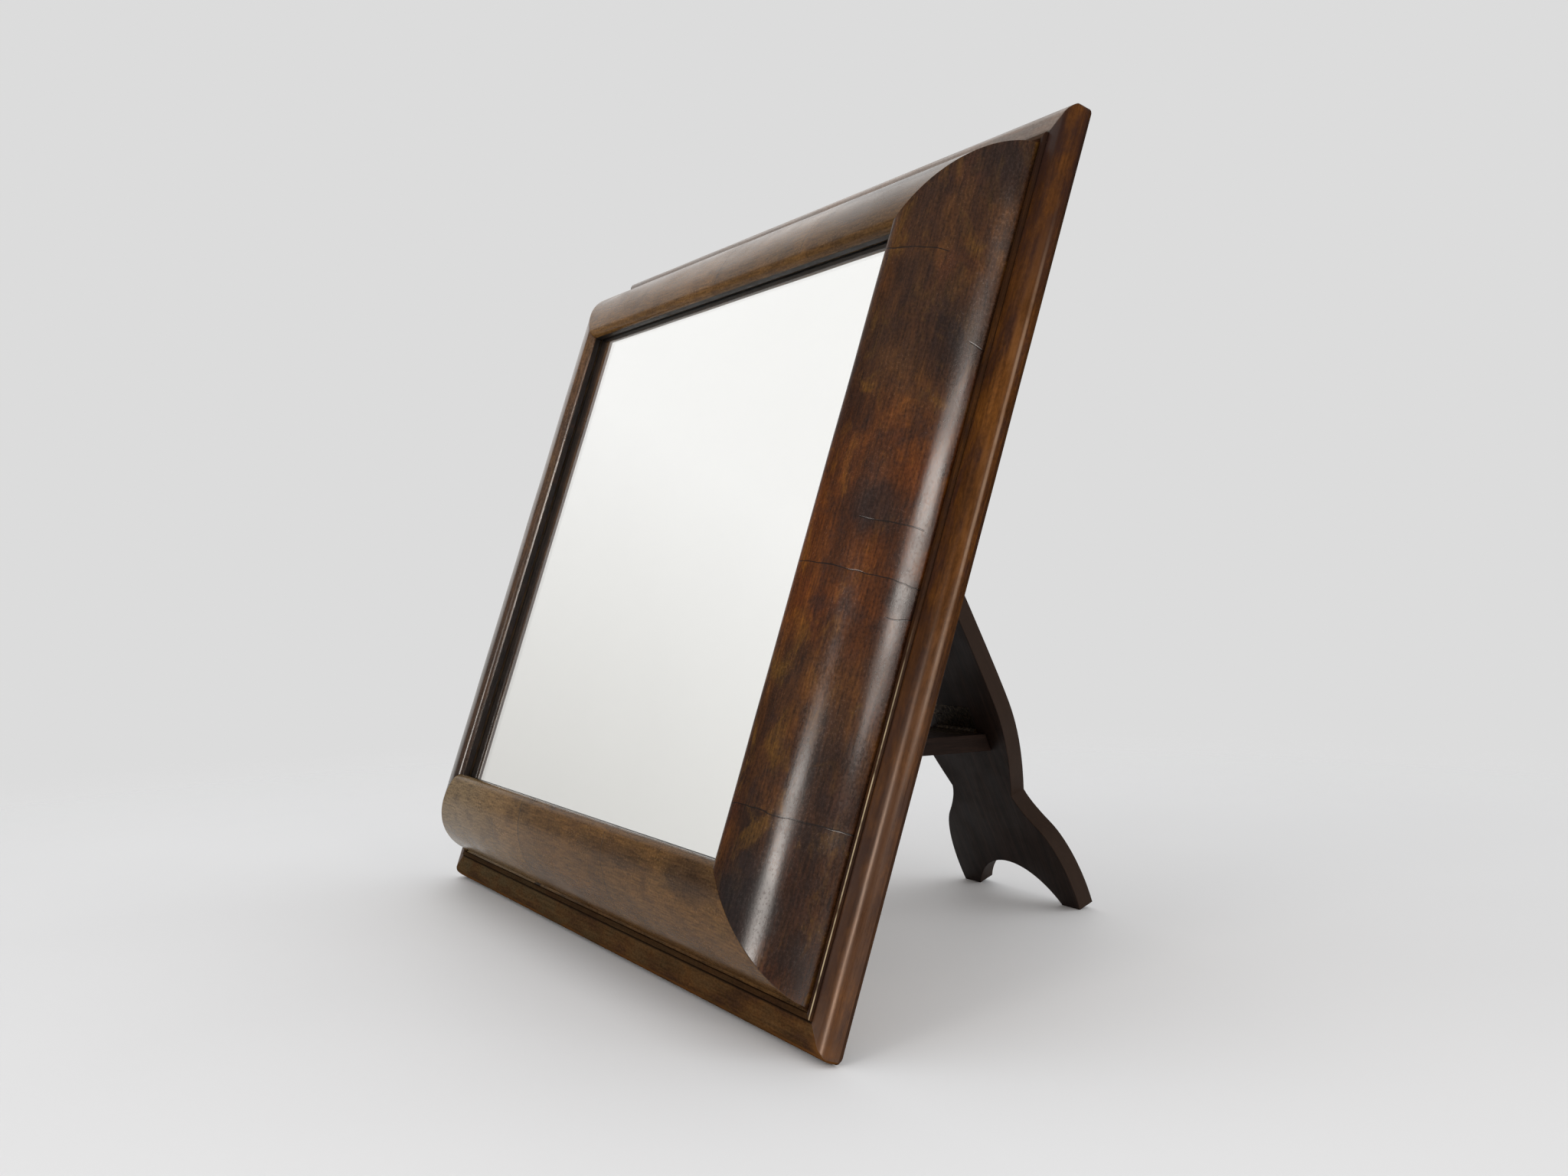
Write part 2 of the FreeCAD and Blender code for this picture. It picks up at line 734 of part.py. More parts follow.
def save_moving():
    save("strut_board", [strut_board()], OPEN_STRUT)
    save("strut_hinge_leaf", [strut_leaf.solid()], OPEN_STRUT)
    save("strut_leaf_screws", strut_leaf.screws(), OPEN_STRUT)
    save("strut_stay_leaf", [strut_stay_leaf.solid()], OPEN_STRUT)
    save("strut_stay_screws", strut_stay_leaf.screws(), OPEN_STRUT)
    save("rear_stay_hinge_pin", [strut_stay_leaf.pin()], OPEN_STRUT)
    save("rear_stay", [rear_stay()], OPEN_REAR_STAY)
    save("rear_stay_leaf", [rear_stay_leaf.solid()], OPEN_REAR_STAY)
    save("rear_stay_screws", rear_stay_leaf.screws(), OPEN_REAR_STAY)
    save("hook_pin", [hook_pin()], OPEN_REAR_STAY)
    save("front_stay", [front_stay()], OPEN_FRONT_STAY)
    save("front_stay_leaf", [front_stay_leaf.solid()], OPEN_FRONT_STAY)
    save("front_stay_screws", front_stay_leaf.screws(), OPEN_FRONT_STAY)


os.makedirs("parts", exist_ok=True)
save_frame()
save_glazing()
save_hinge_fixings()
save_moving()
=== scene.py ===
import bpy
import math
from collections import namedtuple
from mathutils import Matrix, Vector, noise


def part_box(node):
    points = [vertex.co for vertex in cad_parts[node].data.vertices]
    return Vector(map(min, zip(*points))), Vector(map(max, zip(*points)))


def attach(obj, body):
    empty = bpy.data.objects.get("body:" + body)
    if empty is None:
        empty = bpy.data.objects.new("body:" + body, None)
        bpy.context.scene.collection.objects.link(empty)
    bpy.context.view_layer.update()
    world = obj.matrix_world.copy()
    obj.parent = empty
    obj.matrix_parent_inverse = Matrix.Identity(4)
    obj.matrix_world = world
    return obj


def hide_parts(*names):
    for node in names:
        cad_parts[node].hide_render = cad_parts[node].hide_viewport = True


# Table mirror in a veneered cushion frame on an easel strut. Lengths are metres in the CAD's frame.
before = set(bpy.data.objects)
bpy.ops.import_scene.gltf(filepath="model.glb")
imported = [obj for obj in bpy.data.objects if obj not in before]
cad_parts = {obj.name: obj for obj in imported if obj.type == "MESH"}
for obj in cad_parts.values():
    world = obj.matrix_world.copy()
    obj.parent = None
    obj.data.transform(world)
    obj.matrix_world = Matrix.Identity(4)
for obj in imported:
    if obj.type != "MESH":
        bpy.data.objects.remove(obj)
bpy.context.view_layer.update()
MM = 0.001

# Stance, as in the CAD
LEAN = math.radians(18.7)
FRAME_HEIGHT = 426 * MM

# Moulding section, measured in from the outer edge and forward from the back plane
EDGE_WIDTH = 16.5 * MM
NOSE_HEIGHT = 10.4 * MM
SLOPE_TOP = 10.7 * MM
FILLET_WIDTH = 2.5 * MM
FILLET_TOP = 12.0 * MM
QUIRK_WIDTH = 1.5 * MM
QUIRK_DEPTH = 1.9 * MM
CUSHION_RADIUS = 43.4 * MM
CUSHION_RISE = 48.4 * MM
SIGHT_WIDTH = 65.5 * MM
SIGHT_ROUND = 4.5 * MM
VENEER_THICKNESS = 1.5 * MM
SLIP_THICKNESS = 1.5 * MM
GLASS_FRONT = 40.5 * MM
GLASS_BACK = 37.3 * MM
REBATE = 59.0 * MM
GLASS_CLEARANCE = 1.0 * MM
GLASS_BEVEL = 0.4 * MM
SILVER_BITE = 0.05 * MM
FOOT_COVER = 0.2 * MM

# Hand finish: a nose worn rounder than it was cut, eased arrises, worn corners, and the slight waviness of
# scraped and polished wood, with the steps and angles that its meshes are made in
WORN_SIDE_HEIGHT = 1.6 * MM
WORN_NOSE_WIDTH = 6.4 * MM
ARRIS_ROUND = 0.5 * MM
CORNER_ROUND = 5.5 * MM
CORNER_DROP = 0.4
MITRE_DIP = 0.12 * MM
WAVE_HEIGHT = 0.16 * MM
WAVE_LENGTH = 45 * MM
ALONG_STEP = 4 * MM
SLIP_ROUND = 0.3 * MM
EASED_ANGLE = math.radians(25)
EASED_SHARE = 0.4
EASED_STEPS = 4
NOSE_STEPS = 14
CUSHION_STEPS = 48
VENEER_BACK_STEPS = 16
SHARP_ANGLE = math.radians(38)
WAVE_SEED_STEP = 7.0
ROWS_NEAR_MITRE = [row * MM for row in (0.0, 0.25, 0.5, 0.8, 1.2, 1.6, 2.1, 2.7, 3.5)]

# Derived levels
CUSHION_CENTRE_S = SIGHT_WIDTH - SIGHT_ROUND
CUSHION_CENTRE_N = CUSHION_RISE - CUSHION_RADIUS
SHOULDER = FILLET_TOP - QUIRK_DEPTH
SLIP_TOP = CUSHION_RISE - SIGHT_ROUND
FILLET_START = EDGE_WIDTH - FILLET_WIDTH

low_edge, high_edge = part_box("bottom_edge_moulding")
FRAME_WIDTH = high_edge[0] - low_edge[0]
STANDING_Y = high_edge[1] - EDGE_WIDTH * math.sin(LEAN)


def in_frame(u, v, n):
    """A point u across, v up and n forward of the frame's back plane, leaned back where the CAD stands."""
    y = STANDING_Y + v * math.sin(LEAN) - n * math.cos(LEAN)
    return Vector((u, y, v * math.cos(LEAN) + n * math.sin(LEAN)))


# Node graphs

class Graph:
    """A material's node tree, with one short call for each kind of node."""

    def __init__(self, name):
        self.material = bpy.data.materials.new(name)
        self.material.use_nodes = True
        self.tree = self.material.node_tree
        self.shader = self.tree.nodes["Principled BSDF"]

    def feed(self, socket, value):
        if isinstance(value, bpy.types.NodeSocket):
            self.tree.links.new(value, socket)
        else:
            socket.default_value = value

    def set(self, **values):
        """Sets or links the shader's sockets; a name's underscores stand for spaces."""
        for name, value in values.items():
            self.feed(self.shader.inputs[name.replace("_", " ")], value)

    def coordinates(self, kind):
        return self.tree.nodes.new("ShaderNodeTexCoord").outputs[kind]

    def split(self, vector):
        node = self.tree.nodes.new("ShaderNodeSeparateXYZ")
        self.feed(node.inputs[0], vector)
        return node.outputs

    def join(self, x, y, z=0.0):
        node = self.tree.nodes.new("ShaderNodeCombineXYZ")
        for socket, value in zip(node.inputs, (x, y, z)):
            self.feed(socket, value)
        return node.outputs[0]

    def math(self, operation, *values):
        node = self.tree.nodes.new("ShaderNodeMath")
        node.operation = operation
        for socket, value in zip(node.inputs, values):
            self.feed(socket, value)
        return node.outputs[0]

    def times(self, first, second):
        return self.math("MULTIPLY", first, second)

    def stretched(self, vector, x, y, z):
        node = self.tree.nodes.new("ShaderNodeMapping")
        self.feed(node.inputs["Vector"], vector)
        node.inputs["Scale"].default_value = (x, y, z)
        return node.outputs[0]

    def turned(self, vector, angle):
        """Turns a place about the left-right axis, so that a board leaning back by the angle stands up."""
        node = self.tree.nodes.new("ShaderNodeMapping")
        self.feed(node.inputs["Vector"], vector)
        node.inputs["Rotation"].default_value = (angle, 0, 0)
        return node.outputs[0]

    def noise(self, vector, scale=1.0, detail=4.0, roughness=0.55, distortion=0.0):
        node = self.tree.nodes.new("ShaderNodeTexNoise")
        self.feed(node.inputs["Vector"], vector)
        node.inputs["Scale"].default_value = scale
        node.inputs["Detail"].default_value = detail
        node.inputs["Roughness"].default_value = roughness
        node.inputs["Distortion"].default_value = distortion
        return node.outputs["Fac"]

    def grain(self, place, along, across, **look):
        """Noise with its own scale along and across a side."""
        return self.noise(self.stretched(place, along, across, 1), **look)

    def band(self, value, low, high, to_low=0.0, to_high=1.0):
        """Maps low..high to to_low..to_high smoothly, and holds the ends."""
        node = self.tree.nodes.new("ShaderNodeMapRange")
        node.interpolation_type = "SMOOTHSTEP"
        for socket, number in zip(node.inputs, (value, low, high, to_low, to_high)):
            self.feed(socket, number)
        return node.outputs[0]

    def ramp(self, value, stops, interpolation="LINEAR"):
        """A colour ramp through (position, colour) stops."""
        node = self.tree.nodes.new("ShaderNodeValToRGB")
        self.feed(node.inputs[0], value)
        node.color_ramp.interpolation = interpolation
        elements = node.color_ramp.elements
        while len(elements) < len(stops):
            elements.new(0.5)
        for element, (position, colour) in zip(elements, stops):
            element.position = position
            element.color = (*colour, 1.0)
        return node.outputs["Color"]

    def mix(self, factor, first, second, blend="MIX"):
        node = self.tree.nodes.new("ShaderNodeMix")
        node.data_type = "RGBA"
        node.blend_type = blend
        for index, value in ((0, factor), (6, first), (7, second)):
            if isinstance(value, tuple):
                value = (*value, 1.0)
            self.feed(node.inputs[index], value)
        return node.outputs[2]

    def shaded(self, colour, light):
        """A colour made darker or lighter by a factor."""
        return self.mix(1.0, colour, self.join(light, light, light), "MULTIPLY")

    def bump(self, height, strength, distance, normal=None):
        node = self.tree.nodes.new("ShaderNodeBump")
        node.inputs["Strength"].default_value = strength
        node.inputs["Distance"].default_value = distance
        self.feed(node.inputs["Height"], height)
        if normal is not None:
            self.feed(node.inputs["Normal"], normal)
        return node.outputs[0]

    def eased(self, radius):
        """A normal that rounds the solid's sharp arrises."""
        node = self.tree.nodes.new("ShaderNodeBevel")
        node.samples = 6
        node.inputs["Radius"].default_value = radius
        return node.outputs[0]


# Finishes of the frame's four sides. Along runs anticlockwise round the frame as seen from the front, from
# each side's first mitre. Across runs over the cushion from its foot, or over the edge moulding from its
# outer face.

Seam = namedtuple("Seam", "place slope start end")
Stain = namedtuple("Stain", "place across length width strength")
Graded = namedtuple("Graded", "start end before after")
Finish = namedtuple("Finish", "leaves fade faded shine edge_shine edge_dirt dust")
SIDE_NAMES = ["bottom", "right", "top", "left"]

# Joints between leaves of veneer, cracks, and stains, in millimetres
FULL = 64
LEAF_JOINT_SPAN = 50
SEAMS = {
    "right": [
        Seam(91, 0.0, 0, FULL), Seam(199, 0.03, 0, FULL), Seam(225, -0.06, 8, 36), Seam(185, -0.1, 3, 13),
        Seam(308, 0.3, 2, 9), Seam(346, 0.05, 30, FULL),
    ],
    "bottom": [Seam(189, 0.04, 0, FULL), Seam(137, 0.15, 40, 48), Seam(318, -0.05, 0, FULL)],
    "top": [Seam(146, 0.1, 0, FULL), Seam(255, -0.08, 0, FULL), Seam(414, 0.12, 0, FULL)],
    "left": [Seam(98, 0.04, 0, FULL), Seam(213, -0.05, 0, FULL), Seam(330, 0.02, 0, FULL)],
}
STAINS = {
    "right": [
        Stain(229, 32, 14, 15, 0.75), Stain(192, 8, 12, 9, 0.8), Stain(50, 44, 26, 20, 0.85),
        Stain(391, 16, 20, 16, 0.6), Stain(332, 40, 20, 10, 0.5), Stain(384, 38, 46, 30, 0.4),
        Stain(310, 32, 30, 36, 0.45), Stain(112, 20, 28, 18, 0.4),
    ],
    "bottom": [Stain(330, 56, 60, 7, 0.4), Stain(418, 57, 34, 11, 0.6)],
    "top": [Stain(90, 40, 50, 20, 0.45)],
    "left": [Stain(320, 50, 90, 40, 0.45), Stain(60, 18, 22, 14, 0.5), Stain(186, 30, 16, 18, 0.6)],
}

# Walnut from its darkest to its lightest streaks, in the veneer and in the solid edge mouldings
VENEER_TONES = [
    (0.28, (0.012, 0.0052, 0.0036)),
    (0.42, (0.027, 0.0100, 0.0042)),
    (0.54, (0.054, 0.0190, 0.0050)),
    (0.66, (0.096, 0.0350, 0.0060)),
    (0.80, (0.150, 0.0600, 0.0110)),
]
EDGE_TONES = [
    (0.28, (0.022, 0.0080, 0.0030)),
    (0.46, (0.052, 0.0180, 0.0040)),
    (0.60, (0.086, 0.0300, 0.0055)),
    (0.78, (0.140, 0.0520, 0.0090)),
]

# Patterns in the wood: about how many features a metre has along and across a side, and their noise
FIGURE = {"along": 22, "across": 38, "detail": 5.0, "roughness": 0.6, "distortion": 0.6}
STREAK = {"along": 26, "across": 190, "detail": 5.0, "roughness": 0.62, "distortion": 0.3}
AMBER_PATCH = {"along": 40, "across": 75, "detail": 6.0, "roughness": 0.65, "distortion": 0.8}
RED_PATCH = {"along": 31, "across": 52, "detail": 5.0, "roughness": 0.6}
CLOUD = {"along": 48, "across": 60, "detail": 6.0, "roughness": 0.65}
PORE = {"along": 420, "across": 1900, "detail": 3.0, "roughness": 0.7}
SPECKLE = {"along": 620, "across": 800, "detail": 3.0, "roughness": 0.7}
FIBRE = {"along": 75, "across": 850, "detail": 4.0, "roughness": 0.65, "distortion": 0.3}
DULL_PATCH = {"along": 30, "across": 60, "detail": 5.0}
RIPPLE = {"along": 260, "across": 420, "detail": 2.0}
EDGE_FIGURE = {"along": 28, "across": 75, "detail": 6.0, "roughness": 0.65, "distortion": 0.6}
EDGE_STREAK = {"along": 30, "across": 700, "detail": 4.0, "roughness": 0.65}
EDGE_CLOUD = {"along": 30, "across": 80, "detail": 6.0, "roughness": 0.65}
EDGE_SPECKLE = {"along": 420, "across": 900, "detail": 3.0, "roughness": 0.7}
ARRIS_WEAR_HIGHLIGHT = {"along": 60, "across": 1, "detail": 3.0}

# What a pattern's noise does: from one level of it to another, an amount before and an amount after
AMBER_COVER = Graded(0.50, 0.70, 0.0, 0.65)
RED_COVER = Graded(0.54, 0.72, 0.0, 0.5)
PORE_COVER = Graded(0.54, 0.72, 0.0, 0.55)
SPECKLE_GRIT = Graded(0.3, 0.7, 0.2, 0.75)
FIBRE_GRIT = Graded(0.3, 0.7, 0.2, 0.85)
VENEER_ROUGHNESS = Graded(0.35, 0.70, 0.15, 0.25)
SPECKLE_ROUGHNESS = Graded(0.45, 0.75, 0.0, 1.0)
EDGE_AGED_COVER = Graded(0.46, 0.64, 0.0, 0.7)
EDGE_SPECKLE_GRIT = Graded(0.3, 0.7, 0.25, 0.75)
EDGE_STREAK_GRIT = Graded(0.3, 0.7, 0.42, 0.72)
EDGE_ROUGHNESS = Graded(0.35, 0.7, 0.30, 0.42)
NOSE_RUB_PATCHES = Graded(0.40, 0.66, 0.1, 0.7)
LOW_RUB_HIGHLIGHT_PATCHES = Graded(0.46, 0.62, 0.0, 1.0)
BARE_HIGHLIGHT_PATCHES = Graded(0.36, 0.58, 0.15, 0.45)
AGED_PATCHES = Graded(0.34, 0.56, 0.25, 1.0)
ARRIS_HIGHLIGHT_PATCHES = Graded(0.36, 0.56, 0.1, 0.75)
DUST_SHEEN_PATCHES = Graded(0.3, 0.7, 0.7, 1.3)

# Colours of patches, fading, wear and dirt, with the painted sheen, highlights and shade mixed into some
AMBER = (0.105, 0.0470, 0.0060)
RED_WOOD = (0.066, 0.0180, 0.0060)
# The next three are colours that light has given the wood, each with a painted sheen mixed in
GOLDEN_FADE_AND_SHEEN = (0.106, 0.0585, 0.0215)
GREYED_FADE_AND_SHEEN = (0.115, 0.0740, 0.0480)
BLEACHED_AND_SHEEN = (0.176, 0.1410, 0.0820)
RUSSET_TINT = (1.36, 1.04, 0.60)
CLOUDED = (0.020, 0.0095, 0.0075)
STAINED = (0.010, 0.0075, 0.0080)
PORES = (0.012, 0.0060, 0.0045)
JOINT_DIRT = (0.006, 0.0040, 0.0035)
# Dark at the cushion's foot: dirt, with painted shade in it
FOOT_DIRT_AND_SHADE = (0.009, 0.0055, 0.0040)
# Pale grey of dust, with a painted sheen in it, on the top rail and its edge
DUST_AND_SHEEN = (0.36, 0.345, 0.32)
AGED = (0.026, 0.0115, 0.0090)
GRIME = (0.056, 0.0400, 0.0210)
# Orange of rubbed wood; low on the right stile's edge the same colour paints a warm highlight
RUBBED_AND_HIGHLIGHT = (0.165, 0.0660, 0.0180)
# Light tan of a line worn through the polish, with a painted highlight in it
BARE_WOOD_HIGHLIGHT = (0.36, 0.235, 0.155)
# Dark dirt in the quirk, with painted shade in it
QUIRK_DIRT_AND_SHADE = (0.012, 0.0080, 0.0060)
DARK_FILLET = (0.016, 0.0090, 0.0055)
# Pale gold of the fillet's worn arris, with a painted highlight in it
PALE_ARRIS_HIGHLIGHT = (0.50, 0.40, 0.25)
AMBER_POLISH = (1.0, 0.75, 0.60, 1.0)

# Each side's finish: lightness of the leaves between full-width joints, how far and to what colour the
# light has faded the wood, with a painted sheen in that colour, the shine of the old polish, the shine and
# dirt of its edge moulding, and dust with a painted sheen in it.
# A shine is one number all over, or Graded from one place to another across the cushion or along the edge.
FINISHES = {
    "bottom": Finish(
        leaves=(0.96, 0.74, 0.76), fade=0.65, faded=GOLDEN_FADE_AND_SHEEN, shine=0.04,
        edge_shine=0.0, edge_dirt=0.9, dust=0.0,
    ),
    "right": Finish(
        leaves=(0.36, 0.50, 0.55), fade=0.0, faded=GOLDEN_FADE_AND_SHEEN, shine=Graded(46 * MM, 62 * MM, 0.53, 0.118),
        edge_shine=Graded(106 * MM, 234 * MM, 1.0, 0.14), edge_dirt=0.0, dust=0.0,
    ),
    "top": Finish(
        leaves=(0.64, 0.76, 0.88, 1.00), fade=0.65, faded=GOLDEN_FADE_AND_SHEEN, shine=Graded(14 * MM, 32 * MM, 0.24, 0.07),
        edge_shine=0.6, edge_dirt=0.0, dust=0.28,
    ),
    "left": Finish(
        leaves=(0.70, 0.62, 0.54, 0.44), fade=0.45, faded=GREYED_FADE_AND_SHEEN, shine=0.75,
        edge_shine=0.25, edge_dirt=0.3, dust=0.0,
    ),
}

# Where fading, wear and dirt, and the painted sheen, highlights and shade among them, begin and end, and how
# strong they are on either side of that run
# The bottom rail's left end: bleaching, with a painted sheen in it
BLEACHED_SHEEN_RUN = Graded(40 * MM, 260 * MM, 0.5, 0.0)
RUSSET_FROM = Graded(150 * MM, 185 * MM, 0.0, 0.9)
RUSSET_TO = Graded(250 * MM, 295 * MM, 1.0, 0.0)
FOOT_DIRT_SHADE_RUN = Graded(1.2 * MM, 3.5 * MM, 0.85, 0.0)
LOW_RUB_HIGHLIGHT_RUN = Graded(40 * MM, 170 * MM, 0.25, 0.0)
BARE_HIGHLIGHT_FROM = Graded(110 * MM, 170 * MM, 0.0, 1.0)
BARE_HIGHLIGHT_TO = Graded(330 * MM, 390 * MM, 1.0, 0.0)
AGED_BELOW = Graded(90 * MM, 210 * MM, 0.55, 0.0)
AGED_ABOVE = Graded(300 * MM, 400 * MM, 0.0, 0.9)
PALE_ARRIS_HIGHLIGHT_RUN = Graded(130 * MM, 190 * MM, 1.0, 0.0)
VENEER_DUST_SHEEN_START = 4 * MM
VENEER_DUST_SHEEN_END = 20 * MM
EDGE_DUST_SHEEN_RISE = 2 * MM
EDGE_DUST_SHEEN_FALL = 0.5 * MM
CORNER_RUB = 14 * MM
CORNER_RUB_STRENGTH = 0.6
BARE_HIGHLIGHT_OFFSET = 2.6 * MM
QUIRK_DIRT_SHADE_ABOVE = 0.8 * MM
QUIRK_DIRT_SHADE_BELOW = 0.6 * MM
POLISH_RISE = 3 * MM
POLISH_FALL = 2 * MM
HANDLED_SMOOTHER = 0.04
QUIRK_DULLER = 0.4
RIPPLE_DEPTH = 0.12 * MM
PORE_DEPTH = 0.18 * MM
STREAK_DEPTH = 0.1 * MM

# Lines along a side: half the width of the line itself, and how far off it has faded out
SEAM_LINE = (0.08 * MM, 0.42 * MM)
NOSE_LINE = (0.6 * MM, 2.6 * MM)
BARE_HIGHLIGHT_LINE = (0.2 * MM, 1.1 * MM)
ARRIS_HIGHLIGHT_LINE = (0.15 * MM, 0.4 * MM)
SEAM_WANDER = 6 * MM
SEAM_END_FADE = 2

# Each side's noise is read from a place of its own
VENEER_SHIFT = 1.7
EDGE_SHIFT = 1.3
EDGE_START = 9.0


def line_near(graph, value, place, line):
    """1 where a value is close to a place, fading to 0 on either side."""
    half_width, faded_out = line
    gap = graph.math("ABSOLUTE", graph.math("SUBTRACT", value, place))
    return graph.band(gap, half_width, faded_out, 1.0, 0.0)


def seam_line(graph, along, across, seams):
    """1 on a joint between two leaves of veneer, 0 away from it."""
    wander = graph.noise(graph.join(across, along), scale=45.0, detail=2.0)
    line = 0.0
    for seam in seams:
        centre = graph.math("MULTIPLY_ADD", across, seam.slope, seam.place * MM)
        offset = graph.math("SUBTRACT", along, centre)
        offset = graph.math("MULTIPLY_ADD", graph.math("SUBTRACT", wander, 0.5), SEAM_WANDER, offset)
        near = graph.band(graph.math("ABSOLUTE", offset), *SEAM_LINE, 1.0, 0.0)
        begun = graph.band(across, (seam.start - SEAM_END_FADE) * MM, seam.start * MM)
        ended = graph.band(across, seam.end * MM, (seam.end + SEAM_END_FADE) * MM, 1.0, 0.0)
        shown = graph.times(near, graph.times(begun, ended))
        line = graph.math("MAXIMUM", line, shown)
    return line


def stain_cover(graph, along, across, ragged, stains):
    """How far each spot lies under a dark stain with a ragged edge."""
    cover = 0.0
    for stain in stains:
        x = graph.math("DIVIDE", graph.math("SUBTRACT", along, stain.place * MM), stain.length * MM)
        y = graph.math("DIVIDE", graph.math("SUBTRACT", across, stain.across * MM), stain.width * MM)
        reach = graph.math("ADD", graph.times(x, x), graph.times(y, y))
        reach = graph.math("ADD", reach, graph.math("MULTIPLY_ADD", ragged, 3.0, -1.5))
        spot = graph.times(graph.band(reach, 0.0, 1.3, 1.0, 0.0), stain.strength)
        cover = graph.math("MAXIMUM", cover, spot)
    return cover


def leaf_tones(graph, along, length, seams, tones):
    """A slightly different lightness for each leaf of veneer between the full-width joints."""
    full_joints = [seam for seam in seams if seam.end - seam.start > LEAF_JOINT_SPAN]
    joints = [0.0] + sorted(seam.place * MM / length for seam in full_joints)
    stops = [(joint, (tone, tone, tone)) for joint, tone in zip(joints, tones)]
    return graph.split(graph.ramp(graph.math("DIVIDE", along, length), stops, "CONSTANT"))[0]


def figured_walnut(graph, place, leaf):
    """Walnut's own colour: figure and streaks, lighter or darker by the leaf, with amber and red patches."""
    figure = graph.grain(place, **FIGURE)
    streak = graph.grain(place, **STREAK)
    tone = graph.math("MULTIPLY_ADD", streak, 0.34, graph.times(figure, 0.66))
    tone = graph.math("ADD", tone, graph.math("MULTIPLY_ADD", leaf, 0.5, -0.25))
    wood = graph.ramp(tone, VENEER_TONES)
    amber = graph.grain(place, **AMBER_PATCH)
    wood = graph.mix(graph.band(amber, *AMBER_COVER), wood, AMBER)
    red = graph.grain(place, **RED_PATCH)
    return graph.mix(graph.band(red, *RED_COVER), wood, RED_WOOD)


def faded_and_sheened_walnut(graph, side, wood, leaf, along):
    """Fading by light, with a painted sheen in it, on three sides, most of all at the bottom's left end.
    The right's middle is russet.
    """
    finish = FINISHES[side]
    # the colour of fading holds a painted sheen
    if finish.fade:
        light = graph.times(leaf, 1.4)
        wood = graph.mix(finish.fade, wood, graph.shaded(finish.faded, light))
    if side == "bottom":
        wood = graph.mix(graph.band(along, *BLEACHED_SHEEN_RUN), wood, BLEACHED_AND_SHEEN)
    if side == "right":
        russet = graph.times(graph.band(along, *RUSSET_FROM), graph.band(along, *RUSSET_TO))
        wood = graph.mix(russet, wood, RUSSET_TINT, "MULTIPLY")
    return wood


def walnut_veneer(side, length):
    """Walnut veneer under old polish, with its joints, stains, pores and dirt, painted shade at its foot,
    and a painted sheen in its fading and in any dust.
    """
    graph = Graph("walnut_veneer_" + side)
    finish = FINISHES[side]
    along, across = graph.split(graph.coordinates("UV"))[:2]
    place = graph.join(graph.math("ADD", along, SIDE_NAMES.index(side) * VENEER_SHIFT), across)
    leaf = leaf_tones(graph, along, length, SEAMS[side], finish.leaves)
    wood = faded_and_sheened_walnut(graph, side, figured_walnut(graph, place, leaf), leaf, along)
    cloud = graph.grain(place, **CLOUD)
    wood = graph.mix(graph.band(cloud, 0.48, 0.66, 0.0, 0.6 - 0.4 * finish.fade), wood, CLOUDED)
    wood = graph.mix(stain_cover(graph, along, across, cloud, STAINS[side]), wood, STAINED)
    pores = graph.grain(place, **PORE)
    wood = graph.mix(graph.band(pores, *PORE_COVER), wood, PORES)
    speckle = graph.grain(place, **SPECKLE)
    fibre = graph.grain(place, **FIBRE)
    grit = graph.math("ADD", graph.band(speckle, *SPECKLE_GRIT), graph.band(fibre, *FIBRE_GRIT))
    wood = graph.shaded(wood, grit)
    seams = seam_line(graph, along, across, SEAMS[side])
    wood = graph.mix(graph.times(seams, 0.9), wood, JOINT_DIRT)
    # darker at the cushion's foot: dirt and painted shade
    wood = graph.mix(graph.band(across, *FOOT_DIRT_SHADE_RUN), wood, FOOT_DIRT_AND_SHADE)
    # dust with a painted sheen, on the outer band of the cushion
    if finish.dust:
        dust = graph.band(across, VENEER_DUST_SHEEN_START, VENEER_DUST_SHEEN_END, finish.dust, 0.0)
        wood = graph.mix(graph.times(dust, speckle), wood, DUST_AND_SHEEN)
    roughness = graph.band(graph.grain(place, **DULL_PATCH), *VENEER_ROUGHNESS)
    roughness = graph.math("MULTIPLY_ADD", graph.band(speckle, *SPECKLE_ROUGHNESS), 0.10, roughness)
    shine = finish.shine
    if isinstance(shine, Graded):
        shine = graph.band(across, *shine)
    ripple = graph.bump(graph.grain(place, **RIPPLE), 0.10, RIPPLE_DEPTH)
    height = graph.math("MULTIPLY_ADD", pores, -0.25, graph.times(seams, -0.4))
    graph.set(Base_Color=wood, Roughness=roughness, Specular_IOR_Level=shine)
    graph.set(Normal=graph.bump(height, 0.35, PORE_DEPTH, ripple))
    return graph.material


EdgeGrain = namedtuple("EdgeGrain", "figure streak cloud speckle")


def edge_grain(graph, place):
    return EdgeGrain(
        figure=graph.grain(place, **EDGE_FIGURE),
        streak=graph.grain(place, **EDGE_STREAK),
        cloud=graph.grain(place, **EDGE_CLOUD),
        speckle=graph.grain(place, **EDGE_SPECKLE),
    )


def edge_wood(graph, grain, along, length, dirt):
    """The edge moulding's own colour, clouded with age, under dirt that thins towards the side's far end."""
    tone = graph.math("MULTIPLY_ADD", grain.streak, 0.25, graph.times(grain.figure, 0.75))
    wood = graph.ramp(tone, EDGE_TONES)
    wood = graph.mix(graph.band(grain.cloud, *EDGE_AGED_COVER), wood, AGED)
    if dirt:
        soiled = graph.band(grain.cloud, 0.40, 0.62, dirt, 0.45 * dirt)
        soiled = graph.times(soiled, graph.band(along, 0.1 * length, 0.9 * length, 1.0, 0.6))
        wood = graph.mix(soiled, wood, GRIME)
    grit = graph.band(grain.speckle, *EDGE_SPECKLE_GRIT)
    grit = graph.math("ADD", grit, graph.band(grain.streak, *EDGE_STREAK_GRIT))
    return graph.shaded(wood, grit)


